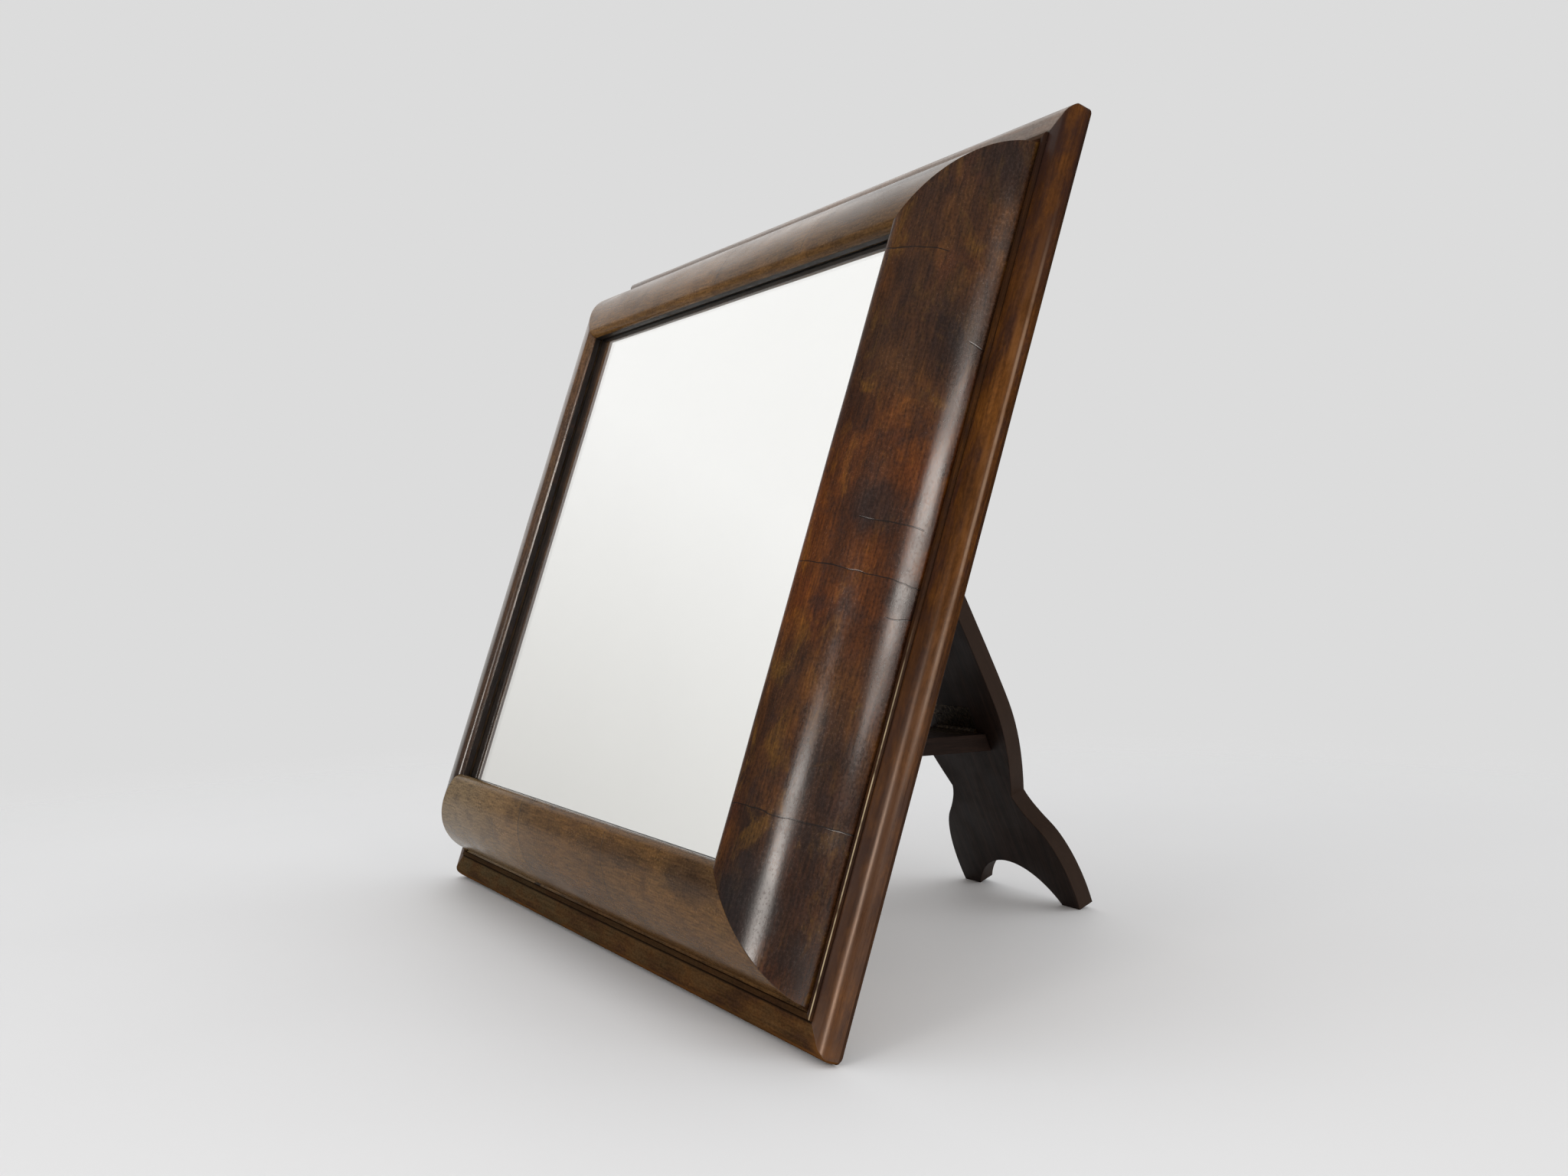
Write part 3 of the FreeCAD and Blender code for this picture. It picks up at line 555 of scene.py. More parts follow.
def edge_rub_and_highlight(graph, side, grain, along, across, length):
    """How far handling has rubbed the wood: in patches on the nose, and about the lower right corner.
    Low on the right stile the rub is also a painted warm highlight.
    """
    rub = line_near(graph, across, edge_marks["nose"], NOSE_LINE)
    rub = graph.times(rub, graph.band(grain.cloud, *NOSE_RUB_PATCHES))
    if side == "right":
        # low on the right stile's edge: a painted warm highlight, in patches
        low_rub_highlight = graph.times(graph.band(along, *LOW_RUB_HIGHLIGHT_RUN), graph.band(grain.figure, *LOW_RUB_HIGHLIGHT_PATCHES))
        corner = graph.band(along, 0.0, CORNER_RUB, CORNER_RUB_STRENGTH, 0.0)
        rub = graph.math("MAXIMUM", graph.math("MAXIMUM", rub, low_rub_highlight), corner)
    if side == "bottom":
        corner = graph.band(along, length - CORNER_RUB, length, 0.0, CORNER_RUB_STRENGTH)
        rub = graph.math("MAXIMUM", rub, corner)
    return rub


def aged_and_highlit_right_edge(graph, grain, along, across, wood):
    """The right stile's edge is worn to the wood in a line outside the nose, with a painted highlight on
    that line, and darker towards both ends.
    """
    # a worn line outside the nose, with a painted highlight on it
    bare_highlight = line_near(graph, across, edge_marks["nose"] - BARE_HIGHLIGHT_OFFSET, BARE_HIGHLIGHT_LINE)
    bare_highlight = graph.times(bare_highlight, graph.band(grain.cloud, *BARE_HIGHLIGHT_PATCHES))
    bare_highlight = graph.times(bare_highlight, graph.band(along, *BARE_HIGHLIGHT_FROM))
    bare_highlight = graph.times(bare_highlight, graph.band(along, *BARE_HIGHLIGHT_TO))
    wood = graph.mix(bare_highlight, wood, BARE_WOOD_HIGHLIGHT)
    aged = graph.math("MAXIMUM", graph.band(along, *AGED_ABOVE), graph.band(along, *AGED_BELOW))
    aged = graph.times(aged, graph.band(grain.cloud, *AGED_PATCHES))
    return graph.mix(aged, wood, AGED)


def quirk_and_fillet(graph, across, wood):
    """Dirt and painted shade in the quirk, and a darker fillet beside it."""
    low, high = edge_marks["quirk"]
    hollow = graph.band(across, low - QUIRK_DIRT_SHADE_ABOVE, low)
    hollow = graph.times(hollow, graph.band(across, high, high + QUIRK_DIRT_SHADE_BELOW, 1.0, 0.0))
    # dirt and painted shade in the quirk
    wood = graph.mix(graph.times(hollow, 0.7), wood, QUIRK_DIRT_AND_SHADE)
    return graph.mix(graph.band(across, low, high, 0.0, 0.5), wood, DARK_FILLET)


def pale_arris_highlight(graph, place, along, across, wood):
    """The fillet's arris, worn pale and with a painted highlight, here and there along the lower part of the
    right stile.
    """
    # a pale line on the arris: wear, with a painted highlight
    pale = line_near(graph, across, edge_marks["arris"], ARRIS_HIGHLIGHT_LINE)
    pale = graph.times(pale, graph.band(graph.grain(place, **ARRIS_WEAR_HIGHLIGHT), *ARRIS_HIGHLIGHT_PATCHES))
    pale = graph.times(pale, graph.band(along, *PALE_ARRIS_HIGHLIGHT_RUN))
    return graph.mix(pale, wood, PALE_ARRIS_HIGHLIGHT)


def dusty_sheen_edge(graph, grain, across, wood, amount):
    """Dust, with a painted sheen in it, on the slope between the nose and the fillet's arris."""
    nose = edge_marks["nose"]
    arris = edge_marks["arris"]
    dust = graph.band(across, nose, nose + EDGE_DUST_SHEEN_RISE, 0.0, amount)
    dust = graph.times(dust, graph.band(across, arris, arris + EDGE_DUST_SHEEN_FALL, 1.0, 0.0))
    dust = graph.times(dust, graph.band(grain.speckle, *DUST_SHEEN_PATCHES))
    return graph.mix(dust, wood, DUST_AND_SHEEN)


def walnut_edge(side, length):
    """Solid walnut edge moulding under old polish, rubbed on the nose and dirty in the quirk, with painted
    shade in the quirk, painted highlights on the right stile's edge, and a painted sheen in any dust.
    """
    graph = Graph("walnut_edge_" + side)
    finish = FINISHES[side]
    along, across = graph.split(graph.coordinates("UV"))[:2]
    shift = EDGE_START + SIDE_NAMES.index(side) * EDGE_SHIFT
    place = graph.join(graph.math("ADD", along, shift), across)
    grain = edge_grain(graph, place)
    wood = edge_wood(graph, grain, along, length, finish.edge_dirt)
    # rubbed wood, with a painted highlight low on the right stile
    wood = graph.mix(edge_rub_and_highlight(graph, side, grain, along, across, length), wood, RUBBED_AND_HIGHLIGHT)
    if side == "right":
        wood = aged_and_highlit_right_edge(graph, grain, along, across, wood)
    wood = quirk_and_fillet(graph, across, wood)
    # the fillet's arris worn pale, with a painted highlight
    if side == "right":
        wood = pale_arris_highlight(graph, place, along, across, wood)
    # dust with a painted sheen, on the slope of the edge
    if finish.dust:
        wood = dusty_sheen_edge(graph, grain, across, wood, finish.dust)
    nose = edge_marks["nose"]
    quirk = edge_marks["quirk"][0]
    roughness = graph.band(grain.streak, *EDGE_ROUGHNESS)
    handled = graph.band(across, nose, nose + POLISH_RISE, HANDLED_SMOOTHER, 0.0)
    roughness = graph.math("SUBTRACT", roughness, handled)
    shine = finish.edge_shine
    if isinstance(shine, Graded):
        polished = graph.band(across, nose, nose + POLISH_RISE, 0.55, 1.0)
        polished = graph.times(polished, graph.band(across, quirk - POLISH_FALL, quirk, 1.0, 0.15))
        shine = graph.times(polished, graph.band(along, *shine))
    else:
        dull = graph.band(across, quirk - POLISH_FALL, quirk, 0.0, QUIRK_DULLER)
        roughness = graph.math("ADD", roughness, dull)
    graph.set(Base_Color=wood, Roughness=roughness, Specular_IOR_Level=shine, Specular_Tint=AMBER_POLISH)
    graph.set(Normal=graph.bump(grain.streak, 0.08, STREAK_DEPTH))
    return graph.material


# Numbers and colours of the plainer materials
FIBRES_PER_RING = 7
WOOD_DULLING = 0.18
TARNISH_DULLING = 0.3
METAL_EASING = 0.25 * MM
GLASS_IOR = 1.5
CLEAR_GLASS = (0.995, 1.0, 0.995, 1.0)
SLIP_TONES = [(0.35, (0.010, 0.008, 0.007)), (0.62, (0.020, 0.014, 0.011)), (0.8, (0.06, 0.03, 0.018))]


def ebonised_slip():
    """Black-stained sight slip, rubbed brown in places."""
    graph = Graph("ebonised_slip")
    rub = graph.noise(graph.coordinates("Object"), scale=160.0, detail=5.0, roughness=0.65)
    colour = graph.ramp(rub, SLIP_TONES)
    graph.set(Base_Color=colour, Roughness=graph.band(rub, 0.3, 0.7, 0.35, 0.5), Specular_IOR_Level=0.15)
    graph.set(Normal=graph.bump(rub, 0.05, 0.1 * MM))
    return graph.material


def plain_wood(name, tones, scale, grain, lean, gloss, easing, shine=0.25, lit_side_tone=None):
    """Straight-grained wood with darker rings and dirt. Grain stretches the pattern along one axis of a
    board that leans back by an angle, and a side tone, rubbed wood with painted light in it, lightens the
    faces that look left and right."""
    graph = Graph(name)
    place = graph.turned(graph.coordinates("Object"), lean)
    ring_place = graph.stretched(place, *grain)
    rings = graph.noise(ring_place, scale=scale, detail=5.0, roughness=0.6, distortion=0.5)
    fibre = graph.noise(ring_place, scale=scale * FIBRES_PER_RING, detail=3.0, roughness=0.7)
    grime = graph.noise(place, scale=24.0, detail=5.0, roughness=0.6)
    tone = graph.math("MULTIPLY_ADD", fibre, 0.4, graph.times(rings, 0.6))
    wood = graph.ramp(tone, [(0.34, tones[0]), (0.5, tones[1]), (0.64, tones[2])])
    wood = graph.mix(graph.band(grime, 0.5, 0.8, 0.0, 0.5), wood, tones[0])
    if lit_side_tone:
        # faces that look left and right made lighter: rubbed, and painted light
        sideways = graph.math("ABSOLUTE", graph.split(graph.coordinates("Normal"))[0])
        wood = graph.mix(graph.band(sideways, 0.35, 0.75, 0.0, 0.7), wood, lit_side_tone)
    roughness = graph.band(grime, 0.3, 0.7, gloss, gloss + WOOD_DULLING)
    graph.set(Base_Color=wood, Roughness=roughness, Specular_IOR_Level=shine)
    graph.set(Normal=graph.bump(fibre, 0.25, 0.2 * MM, graph.eased(easing)))
    return graph.material


def old_metal(name, clean, tarnish, gloss, metallic):
    """Metal with spots of tarnish, duller where they lie."""
    graph = Graph(name)
    place = graph.coordinates("Object")
    spots = graph.noise(place, scale=520.0, detail=6.0, roughness=0.65)
    rub = graph.noise(place, scale=900.0, detail=3.0)
    colour = graph.mix(graph.band(spots, 0.32, 0.60), clean, tarnish)
    roughness = graph.band(spots, 0.3, 0.7, gloss, gloss + TARNISH_DULLING)
    graph.set(Base_Color=colour, Metallic=metallic, Roughness=roughness)
    graph.set(Normal=graph.bump(rub, 0.15, 0.1 * MM, graph.eased(METAL_EASING)))
    return graph.material


def mirror_glass():
    """Clear old plate glass with a faint smear of dust."""
    graph = Graph("mirror_glass")
    smear = graph.noise(graph.stretched(graph.coordinates("Object"), 9, 9, 4), detail=4.0)
    graph.set(Base_Color=CLEAR_GLASS, Transmission_Weight=1.0, IOR=GLASS_IOR)
    graph.set(Roughness=graph.band(smear, 0.4, 0.8, 0.0, 0.012))
    return graph.material


def silvering():
    """The bright coat behind the glass, very slightly clouded."""
    graph = Graph("silvering")
    cloud = graph.noise(graph.coordinates("Object"), scale=14.0, detail=5.0)
    colour = graph.ramp(cloud, [(0.3, (0.98, 0.975, 0.96)), (0.7, (0.99, 0.985, 0.97))])
    graph.set(Base_Color=colour, Metallic=1.0, Roughness=graph.band(cloud, 0.3, 0.8, 0.004, 0.012))
    return graph.material


# Frame members: closed sections run along each side, with mitred ends

def arc_points(centre_s, centre_n, radius, start, end, steps):
    """Points of an arc, whose angles turn from outward through forward to inward."""
    turns = [math.radians(start + (end - start) * i / steps) for i in range(steps + 1)]
    return [(centre_s - radius * math.cos(a), centre_n + radius * math.sin(a)) for a in turns]


def cushion_points(inset, steps):
    """The cushion's curve and the round of its sight edge, at a depth below the surface."""
    radius = CUSHION_RADIUS - inset
    start = math.degrees(math.asin((SHOULDER - CUSHION_CENTRE_N) / radius))
    cushion = arc_points(CUSHION_CENTRE_S, CUSHION_CENTRE_N, radius, start, 90, steps)
    nose = arc_points(CUSHION_CENTRE_S, SLIP_TOP, SIGHT_ROUND - inset, 90, 180, steps // 4)
    return cushion + nose[1:]


def rounded(points, radius):
    """A closed outline with its sharp corners eased by short curves."""
    smooth = []
    count = len(points)
    for i, corner in enumerate(points):
        here = Vector(corner)
        back = Vector(points[i - 1]) - here
        ahead = Vector(points[(i + 1) % count]) - here
        if (-back).angle(ahead) < EASED_ANGLE:
            smooth.append(corner)
            continue
        first = here + back.normalized() * min(radius, back.length * EASED_SHARE)
        last = here + ahead.normalized() * min(radius, ahead.length * EASED_SHARE)
        for step in range(EASED_STEPS + 1):
            t = step / EASED_STEPS
            point = first * (1 - t) ** 2 + here * 2 * t * (1 - t) + last * t ** 2
            smooth.append(tuple(point))
    return smooth


def edge_points():
    """The edge moulding's section: worn nose, slope, quirk and fillet, then its inner side and back."""
    rise = NOSE_HEIGHT - WORN_SIDE_HEIGHT
    turns = [math.radians(90 * i / NOSE_STEPS) for i in range(NOSE_STEPS + 1)]
    nose = [(WORN_NOSE_WIDTH * (1 - math.cos(a)), WORN_SIDE_HEIGHT + rise * math.sin(a)) for a in turns]
    slope = [
        (FILLET_START - QUIRK_WIDTH / 2, SLOPE_TOP),
        (FILLET_START - QUIRK_WIDTH / 4, SLOPE_TOP - QUIRK_DEPTH / 2),
        (FILLET_START, FILLET_TOP),
        (EDGE_WIDTH, FILLET_TOP),
        (EDGE_WIDTH, 0),
        (0, 0),
    ]
    return rounded(nose + slope, ARRIS_ROUND)


def running_lengths(points):
    """Distance along an outline to each of its points."""
    reach = [0.0]
    for a, b in zip(points, points[1:]):
        reach.append(reach[-1] + (Vector(b) - Vector(a)).length)
    return reach


def reach_near(points, s, n):
    """The distance along an outline at the point nearest to (s, n)."""
    gaps = [(Vector(p) - Vector((s, n))).length for p in points]
    return running_lengths(points)[gaps.index(min(gaps))]


# Where the edge moulding's finish changes, as distances along its outline. The nose is marked by its shares
# of the worn round's width and of the nose's height.
NOSE_MARK_IN = 0.2
NOSE_MARK_UP = 0.65
edge_outline = edge_points()
edge_marks = {
    "nose": reach_near(edge_outline, WORN_NOSE_WIDTH * NOSE_MARK_IN, NOSE_HEIGHT * NOSE_MARK_UP),
    "arris": reach_near(edge_outline, FILLET_START, FILLET_TOP),
    "quirk": (
        reach_near(edge_outline, FILLET_START - QUIRK_WIDTH / 2, SLOPE_TOP),
        reach_near(edge_outline, FILLET_START - QUIRK_WIDTH / 4, SLOPE_TOP - QUIRK_DEPTH / 2),
    ),
}


def plan_place(side, along, s):
    """Where a point lies in the frame's plane, from its place along a side and its depth from the edge."""
    half = FRAME_WIDTH / 2
    if side == "bottom":
        return along - half, s
    if side == "right":
        return half - s, along
    if side == "top":
        return half - along, FRAME_HEIGHT - s
    return s - half, FRAME_HEIGHT - along


def worn_corner(u, v):
    """Pulls a point of the plan inside the frame's rounded outer corners, and says how far it moved."""
    half = FRAME_WIDTH / 2
    side_u = math.copysign(1, u)
    gap_u = half - abs(u)
    base_v, side_v = (0.0, -1) if v < FRAME_HEIGHT / 2 else (FRAME_HEIGHT, 1)
    gap_v = abs(v - base_v)
    if gap_u >= CORNER_ROUND or gap_v >= CORNER_ROUND:
        return u, v, 0.0
    over = Vector((CORNER_ROUND - gap_u, CORNER_ROUND - gap_v))
    pull = max(0.0, over.length - CORNER_ROUND)
    over = over.normalized() * (over.length - pull)
    u = side_u * (half - CORNER_ROUND + over.x)
    v = base_v - side_v * (CORNER_ROUND - over.y)
    return u, v, pull


def outline_normals(points):
    """Outward directions of a closed outline that runs clockwise in (s, n)."""
    count = len(points)
    normals = []
    for i in range(count):
        run = Vector(points[(i + 1) % count]) - Vector(points[i - 1])
        normals.append(Vector((-run.y, run.x)).normalized())
    return normals


def row_places(length):
    """Places of the section along a side: close together near the mitres, even between them."""
    start = ROWS_NEAR_MITRE[-1]
    count = round((length - 2 * start) / ALONG_STEP)
    gap = (length - 2 * start) / count
    middle = [start + gap * i for i in range(1, count)]
    return ROWS_NEAR_MITRE + middle + [length - row for row in reversed(ROWS_NEAR_MITRE)]


def swept_points(side, outline, length, wave):
    """The section's points, row by row from one mitre to the other, and how far along the side each lies."""
    reach = running_lengths(outline)
    normals = outline_normals(outline)
    seed = SIDE_NAMES.index(side) * WAVE_SEED_STEP
    points = []
    along_values = []
    for place in row_places(length):
        to_mitre = min(place, length - place)
        fade = min(1.0, to_mitre / WAVE_LENGTH)
        for i, (s, n) in enumerate(outline):
            along = s + place / length * (length - 2 * s)
            spot = Vector((along / WAVE_LENGTH, reach[i] / WAVE_LENGTH, seed))
            lift = noise.noise(spot) * wave * fade
            if to_mitre == 0:
                lift = lift - MITRE_DIP
            push = normals[i] * lift
            u, v, pull = worn_corner(*plan_place(side, along, s + push.x))
            points.append(in_frame(u, v, max(0.0, n + push.y - pull * CORNER_DROP)))
            along_values.append(along)
    return points, along_values


def new_piece(name, verts, faces):
    mesh = bpy.data.meshes.new(name)
    mesh.from_pydata(verts, [], faces)
    piece = bpy.data.objects.new(name, mesh)
    bpy.context.collection.objects.link(piece)
    return piece


def member(name, side, outline, wave):
    """One side of the frame: a closed outline swept between its mitres, with scraped-wood waviness."""
    length = FRAME_HEIGHT if side in ("left", "right") else FRAME_WIDTH
    verts, along_values = swept_points(side, outline, length, wave)
    reach = running_lengths(outline + [outline[0]])
    count = len(outline)
    last = len(verts) - count
    faces = []
    corner_places = []
    for a in range(0, last, count):
        b = a + count
        for i in range(count):
            j = (i + 1) % count
            faces.append((a + i, b + i, b + j, a + j))
            for corner, step in ((a + i, i), (b + i, i), (b + j, i + 1), (a + j, i + 1)):
                corner_places.append((along_values[corner], reach[step]))
    faces.append(tuple(range(count)))
    corner_places += [(along_values[k], reach[k]) for k in range(count)]
    faces.append(tuple(last + k for k in reversed(range(count))))
    corner_places += [(along_values[last + k], reach[k]) for k in reversed(range(count))]
    piece = new_piece(name, verts, faces)
    places = piece.data.uv_layers.new(name="grain")
    for loop, place in zip(places.data, corner_places):
        loop.uv = place
    piece.data.shade_smooth()
    piece.data.set_sharp_from_angle(angle=SHARP_ANGLE)
    return piece, length


def mirror_plate():
    """The glass with ground arrises; its back face bites into the silvering, so no air lies between."""
    half = FRAME_WIDTH / 2 - REBATE - GLASS_CLEARANCE
    low = REBATE + GLASS_CLEARANCE
    rings = []
    for inset, n in ((GLASS_BEVEL, GLASS_FRONT), (0, GLASS_FRONT - GLASS_BEVEL),
                     (0, GLASS_BACK + GLASS_BEVEL), (GLASS_BEVEL, GLASS_BACK - SILVER_BITE)):
        left, bottom = -half + inset, low + inset
        top = FRAME_HEIGHT - bottom
        corners = ((left, bottom), (-left, bottom), (-left, top), (left, top))
        rings.append([in_frame(u, v, n) for u, v in corners])
    verts = [vert for ring in rings for vert in ring]
    faces = [(0, 1, 2, 3), (15, 14, 13, 12)]
    for ring in range(3):
        for i in range(4):
            j = (i + 1) % 4
            faces.append((ring * 4 + j, ring * 4 + i, ring * 4 + 4 + i, ring * 4 + 4 + j))
    return new_piece("mirror_plate", verts, faces)


def dress(piece, material, node):
    """Gives a piece its finish, hangs it on the frame's body, and hides the CAD node that it stands for."""
    piece.data.materials.append(material)
    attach(piece, "frame")
    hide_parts(node)


veneer_foot = [(EDGE_WIDTH, SHOULDER + FOOT_COVER)]
veneer_outline = veneer_foot + cushion_points(0, CUSHION_STEPS)
veneer_outline += cushion_points(VENEER_THICKNESS, VENEER_BACK_STEPS)[::-1]
slip_outline = rounded([
    (SIGHT_WIDTH - SLIP_THICKNESS, GLASS_FRONT),
    (SIGHT_WIDTH - SLIP_THICKNESS, SLIP_TOP),
    (SIGHT_WIDTH, SLIP_TOP),
    (SIGHT_WIDTH, GLASS_FRONT),
], SLIP_ROUND)
slip_finish = ebonised_slip()
for side in SIDE_NAMES:
    veneer, length = member(side + "_veneer_skin", side, veneer_outline, WAVE_HEIGHT)
    dress(veneer, walnut_veneer(side, length), side + "_veneer")
    edge, length = member(side + "_edge_skin", side, edge_outline, WAVE_HEIGHT / 2)
    dress(edge, walnut_edge(side, length), side + "_edge_moulding")
    slip, length = member(side + "_slip_skin", side, slip_outline, 0.0)
    dress(slip, slip_finish, side + "_sight_slip")
dress(mirror_plate(), mirror_glass(), "mirror_glass")


# Finishes for the CAD's own pieces

ALONG_X = (0.06, 1, 1)
ALONG_Y = (1, 0.06, 1)
ALONG_Z = (1, 1, 0.06)
STRUT_LEAN = math.radians(-23.0)
PINE = [(0.105, 0.056, 0.024), (0.215, 0.125, 0.056), (0.300, 0.190, 0.092)]
OLD_PINE = [(0.085, 0.047, 0.022), (0.170, 0.100, 0.048), (0.240, 0.152, 0.078)]
DARK = [(0.008, 0.0038, 0.0027), (0.016, 0.0082, 0.0056), (0.032, 0.0165, 0.0110)]
# Lighter tone for the strut's sides: rubbed wood, with painted light in it
RUBBED_LIT_SIDE = (0.036, 0.0210, 0.0140)
BRASS = (0.075, 0.048, 0.022)
BRASS_TARNISH = (0.020, 0.014, 0.009)
IRON = (0.075, 0.068, 0.062)
IRON_RUST = (0.045, 0.026, 0.018)
PINE_LOOK = {"tones": PINE, "scale": 260, "gloss": 0.55, "easing": 0.5 * MM}
OLD_PINE_LOOK = {"tones": OLD_PINE, "scale": 150, "gloss": 0.6, "easing": 0.5 * MM}
DARK_LOOK = {"tones": DARK, "scale": 160, "gloss": 0.5, "easing": 0.8 * MM, "shine": 0.12}
STRUT_LOOK = {**DARK_LOOK, "easing": 1.0 * MM, "lit_side_tone": RUBBED_LIT_SIDE}
pine_along_x = plain_wood("pine_core_rail", grain=ALONG_X, lean=LEAN, **PINE_LOOK)
pine_along_z = plain_wood("pine_core_stile", grain=ALONG_Z, lean=LEAN, **PINE_LOOK)
back_wood = plain_wood("pine_back", grain=ALONG_X, lean=LEAN, **OLD_PINE_LOOK)
strut_wood = plain_wood("dark_strut_wood", grain=ALONG_Z, lean=STRUT_LEAN, **STRUT_LOOK)
stay_wood = plain_wood("dark_stay_wood", grain=ALONG_Y, lean=0.0, **DARK_LOOK)
cleat_wood = plain_wood("dark_cleat_wood", grain=ALONG_X, lean=LEAN, **DARK_LOOK)
brass = old_metal("aged_brass", BRASS, BRASS_TARNISH, gloss=0.5, metallic=1.0)
iron = old_metal("blackened_iron", IRON, IRON_RUST, gloss=0.4, metallic=0.8)

finishes = {
    "silvering": silvering(),
    "backboard": back_wood,
    "stay_rail": back_wood,
    "hinge_cleat": cleat_wood,
    "strut_board": strut_wood,
    "rear_stay": stay_wood,
    "front_stay": stay_wood,
    "left_stile_core": pine_along_z,
    "right_stile_core": pine_along_z,
}
slot_finishes = {"brass": brass, "iron": iron}


def finish_for(node_name, old_name):
    """The new finish of a CAD node: by its own name, else by the metal in its slot's name, else pine."""
    if node_name in finishes:
        return finishes[node_name]
    for word, material in slot_finishes.items():
        if word in old_name:
            return material
    return pine_along_x


for node_name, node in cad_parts.items():
    for slot in node.material_slots:
        slot.material = finish_for(node_name, slot.material.name)


# Floor, world and lamps

FLOOR_COLOUR = (0.775, 0.785, 0.803)
FLOOR_DARKER = 0.985
FLOOR_RADIUS = 3.0
FLOOR_SOLID = 0.42
FLOOR_GONE = 1.15
BACKDROP = 0.716
WORLD_LIGHT = 0.92
WORLD_COLOUR = (1.0, 0.995, 0.985)
DIM_ROOM = (0.20, 0.19, 0.18)
SKY_STOPS = [(0.06, (0.72, 0.715, 0.70)), (0.31, (1.0, 1.0, 1.0))]
LEFT_FROM = -0.45
LEFT_TO = -0.80
BEHIND_FROM = -0.45
BEHIND_TO = -0.15
WINDOW_COLOUR = (1.0, 0.93, 0.87)
LAMP_AIM = Vector((0.2, -0.06, 0.18))


def pale_floor():
    """A plain pale floor that fades into the backdrop well away from the object."""
    bpy.ops.mesh.primitive_circle_add(vertices=96, radius=FLOOR_RADIUS, fill_type="NGON")
    floor = bpy.context.object
    floor.name = "floor"
    graph = Graph("floor")
    place = graph.coordinates("Object")
    cloud = graph.noise(place, scale=3.0, detail=2.0)
    darker = tuple(level * FLOOR_DARKER for level in FLOOR_COLOUR)
    colour = graph.mix(graph.band(cloud, 0.3, 0.7), FLOOR_COLOUR, darker)
    spread = graph.tree.nodes.new("ShaderNodeVectorMath")
    spread.operation = "LENGTH"
    graph.feed(spread.inputs[0], place)
    solid = graph.band(spread.outputs["Value"], FLOOR_SOLID, FLOOR_GONE, 1.0, 0.0)
    graph.set(Base_Color=colour, Roughness=0.6, Specular_IOR_Level=0.15, Alpha=solid)
    floor.data.materials.append(graph.material)


class WorldGraph(Graph):
    """The world's node tree, made with the same calls as a material's."""

    def __init__(self, name):
        self.world = bpy.data.worlds.new(name)
        self.world.use_nodes = True
        self.tree = self.world.node_tree
        self.tree.nodes.clear()

    def background(self, colour, strength=1.0):
        node = self.tree.nodes.new("ShaderNodeBackground")
        if isinstance(colour, tuple):
            colour = (*colour, 1.0)
        self.feed(node.inputs["Color"], colour)
        node.inputs["Strength"].default_value = strength
        return node.outputs[0]

    def choice(self, factor, first, second):
        node = self.tree.nodes.new("ShaderNodeMixShader")
        for socket, value in zip(node.inputs, (factor, first, second)):
            self.feed(socket, value)
        return node.outputs[0]


def pale_world():
    """Even light for the object. The camera sees a pale backdrop, the mirror one that brightens upwards,
    and polished wood a dim room with that backdrop behind on the left."""
    graph = WorldGraph("studio")
    bpy.context.scene.world = graph.world
    side, depth, height = graph.split(graph.coordinates("Generated"))
    sky = graph.ramp(height, SKY_STOPS)
    left = graph.band(side, LEFT_FROM, LEFT_TO)
    behind = graph.band(depth, BEHIND_FROM, BEHIND_TO)
    room = graph.mix(graph.times(left, behind), DIM_ROOM, sky)
    rays = graph.tree.nodes.new("ShaderNodeLightPath").outputs
    shown = graph.background(WORLD_COLOUR, WORLD_LIGHT)
    shown = graph.choice(rays["Is Glossy Ray"], shown, graph.background(room))
    shown = graph.choice(rays["Is Transmission Ray"], shown, graph.background(sky))
    backdrop = graph.background((BACKDROP, BACKDROP, BACKDROP))
    shown = graph.choice(rays["Is Camera Ray"], shown, backdrop)
    output = graph.tree.nodes.new("ShaderNodeOutputWorld")
    graph.feed(output.inputs["Surface"], shown)


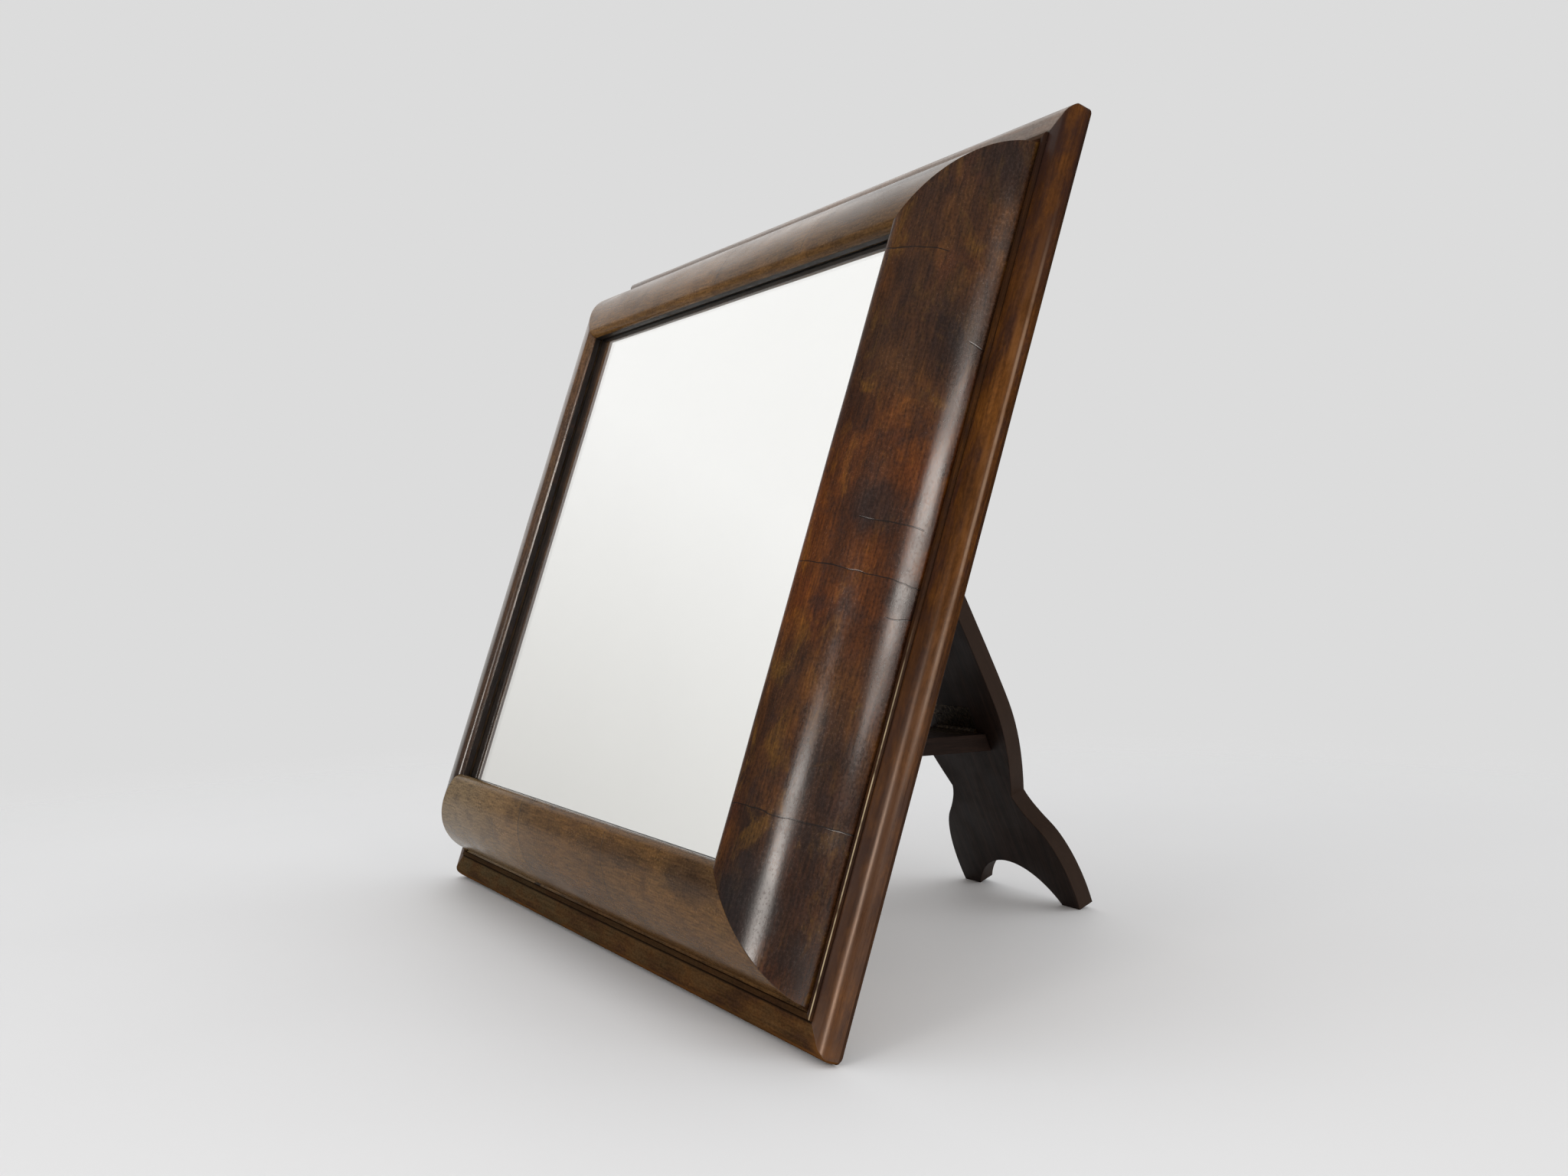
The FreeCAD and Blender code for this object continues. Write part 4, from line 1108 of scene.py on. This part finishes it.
def soft_box(name, azimuth, elevation, distance, width, height, power):
    """A rectangular lamp that faces the object; azimuth turns from the front towards the right."""
    lamp = bpy.data.lights.new(name, "AREA")
    lamp.shape = "RECTANGLE"
    lamp.size = width
    lamp.size_y = height
    lamp.energy = power
    lamp.color = WINDOW_COLOUR
    holder = bpy.data.objects.new(name, lamp)
    turn = math.radians(azimuth)
    rise = math.radians(elevation)
    away = Vector((math.sin(turn) * math.cos(rise), -math.cos(turn) * math.cos(rise), math.sin(rise)))
    holder.location = LAMP_AIM + away * distance
    holder.rotation_euler = away.to_track_quat("Z", "Y").to_euler()
    holder.visible_camera = False
    bpy.context.collection.objects.link(holder)


pale_floor()
pale_world()
soft_box("left_window", azimuth=25, elevation=10, distance=1.8, width=0.42, height=0.44, power=7.2)
soft_box("right_window", azimuth=90, elevation=12, distance=1.8, width=0.50, height=0.42, power=7.4)
soft_box("back_window", azimuth=-98, elevation=38, distance=2.0, width=0.8, height=0.7, power=1.2)


# Camera at the photograph's place

IMAGE_WIDTH = 2048
FOCAL_PIXELS = 2151.9
SENSOR = 36.0
CAMERA_PLACE = Vector((0.82543, -0.45700, 0.20177))
HEADING = math.radians(61.837)
PITCH = math.radians(-0.639)
ROLL = math.radians(-0.967)


def add_camera():
    ahead = Vector((
        -math.sin(HEADING) * math.cos(PITCH),
        math.cos(HEADING) * math.cos(PITCH),
        math.sin(PITCH),
    ))
    level = Vector((math.cos(HEADING), math.sin(HEADING), 0))
    above = level.cross(ahead)
    right = level * math.cos(ROLL) + above * math.sin(ROLL)
    up = above * math.cos(ROLL) - level * math.sin(ROLL)
    lens = bpy.data.cameras.new("camera")
    lens.sensor_width = SENSOR
    lens.sensor_fit = "HORIZONTAL"
    lens.lens = FOCAL_PIXELS / IMAGE_WIDTH * SENSOR
    lens.clip_start = 0.01
    camera = bpy.data.objects.new("camera", lens)
    turn = Matrix((right, up, -ahead)).transposed().to_4x4()
    camera.matrix_world = Matrix.Translation(CAMERA_PLACE) @ turn
    bpy.context.collection.objects.link(camera)
    bpy.context.scene.camera = camera


add_camera()
bpy.context.scene.view_settings.view_transform = "Standard"
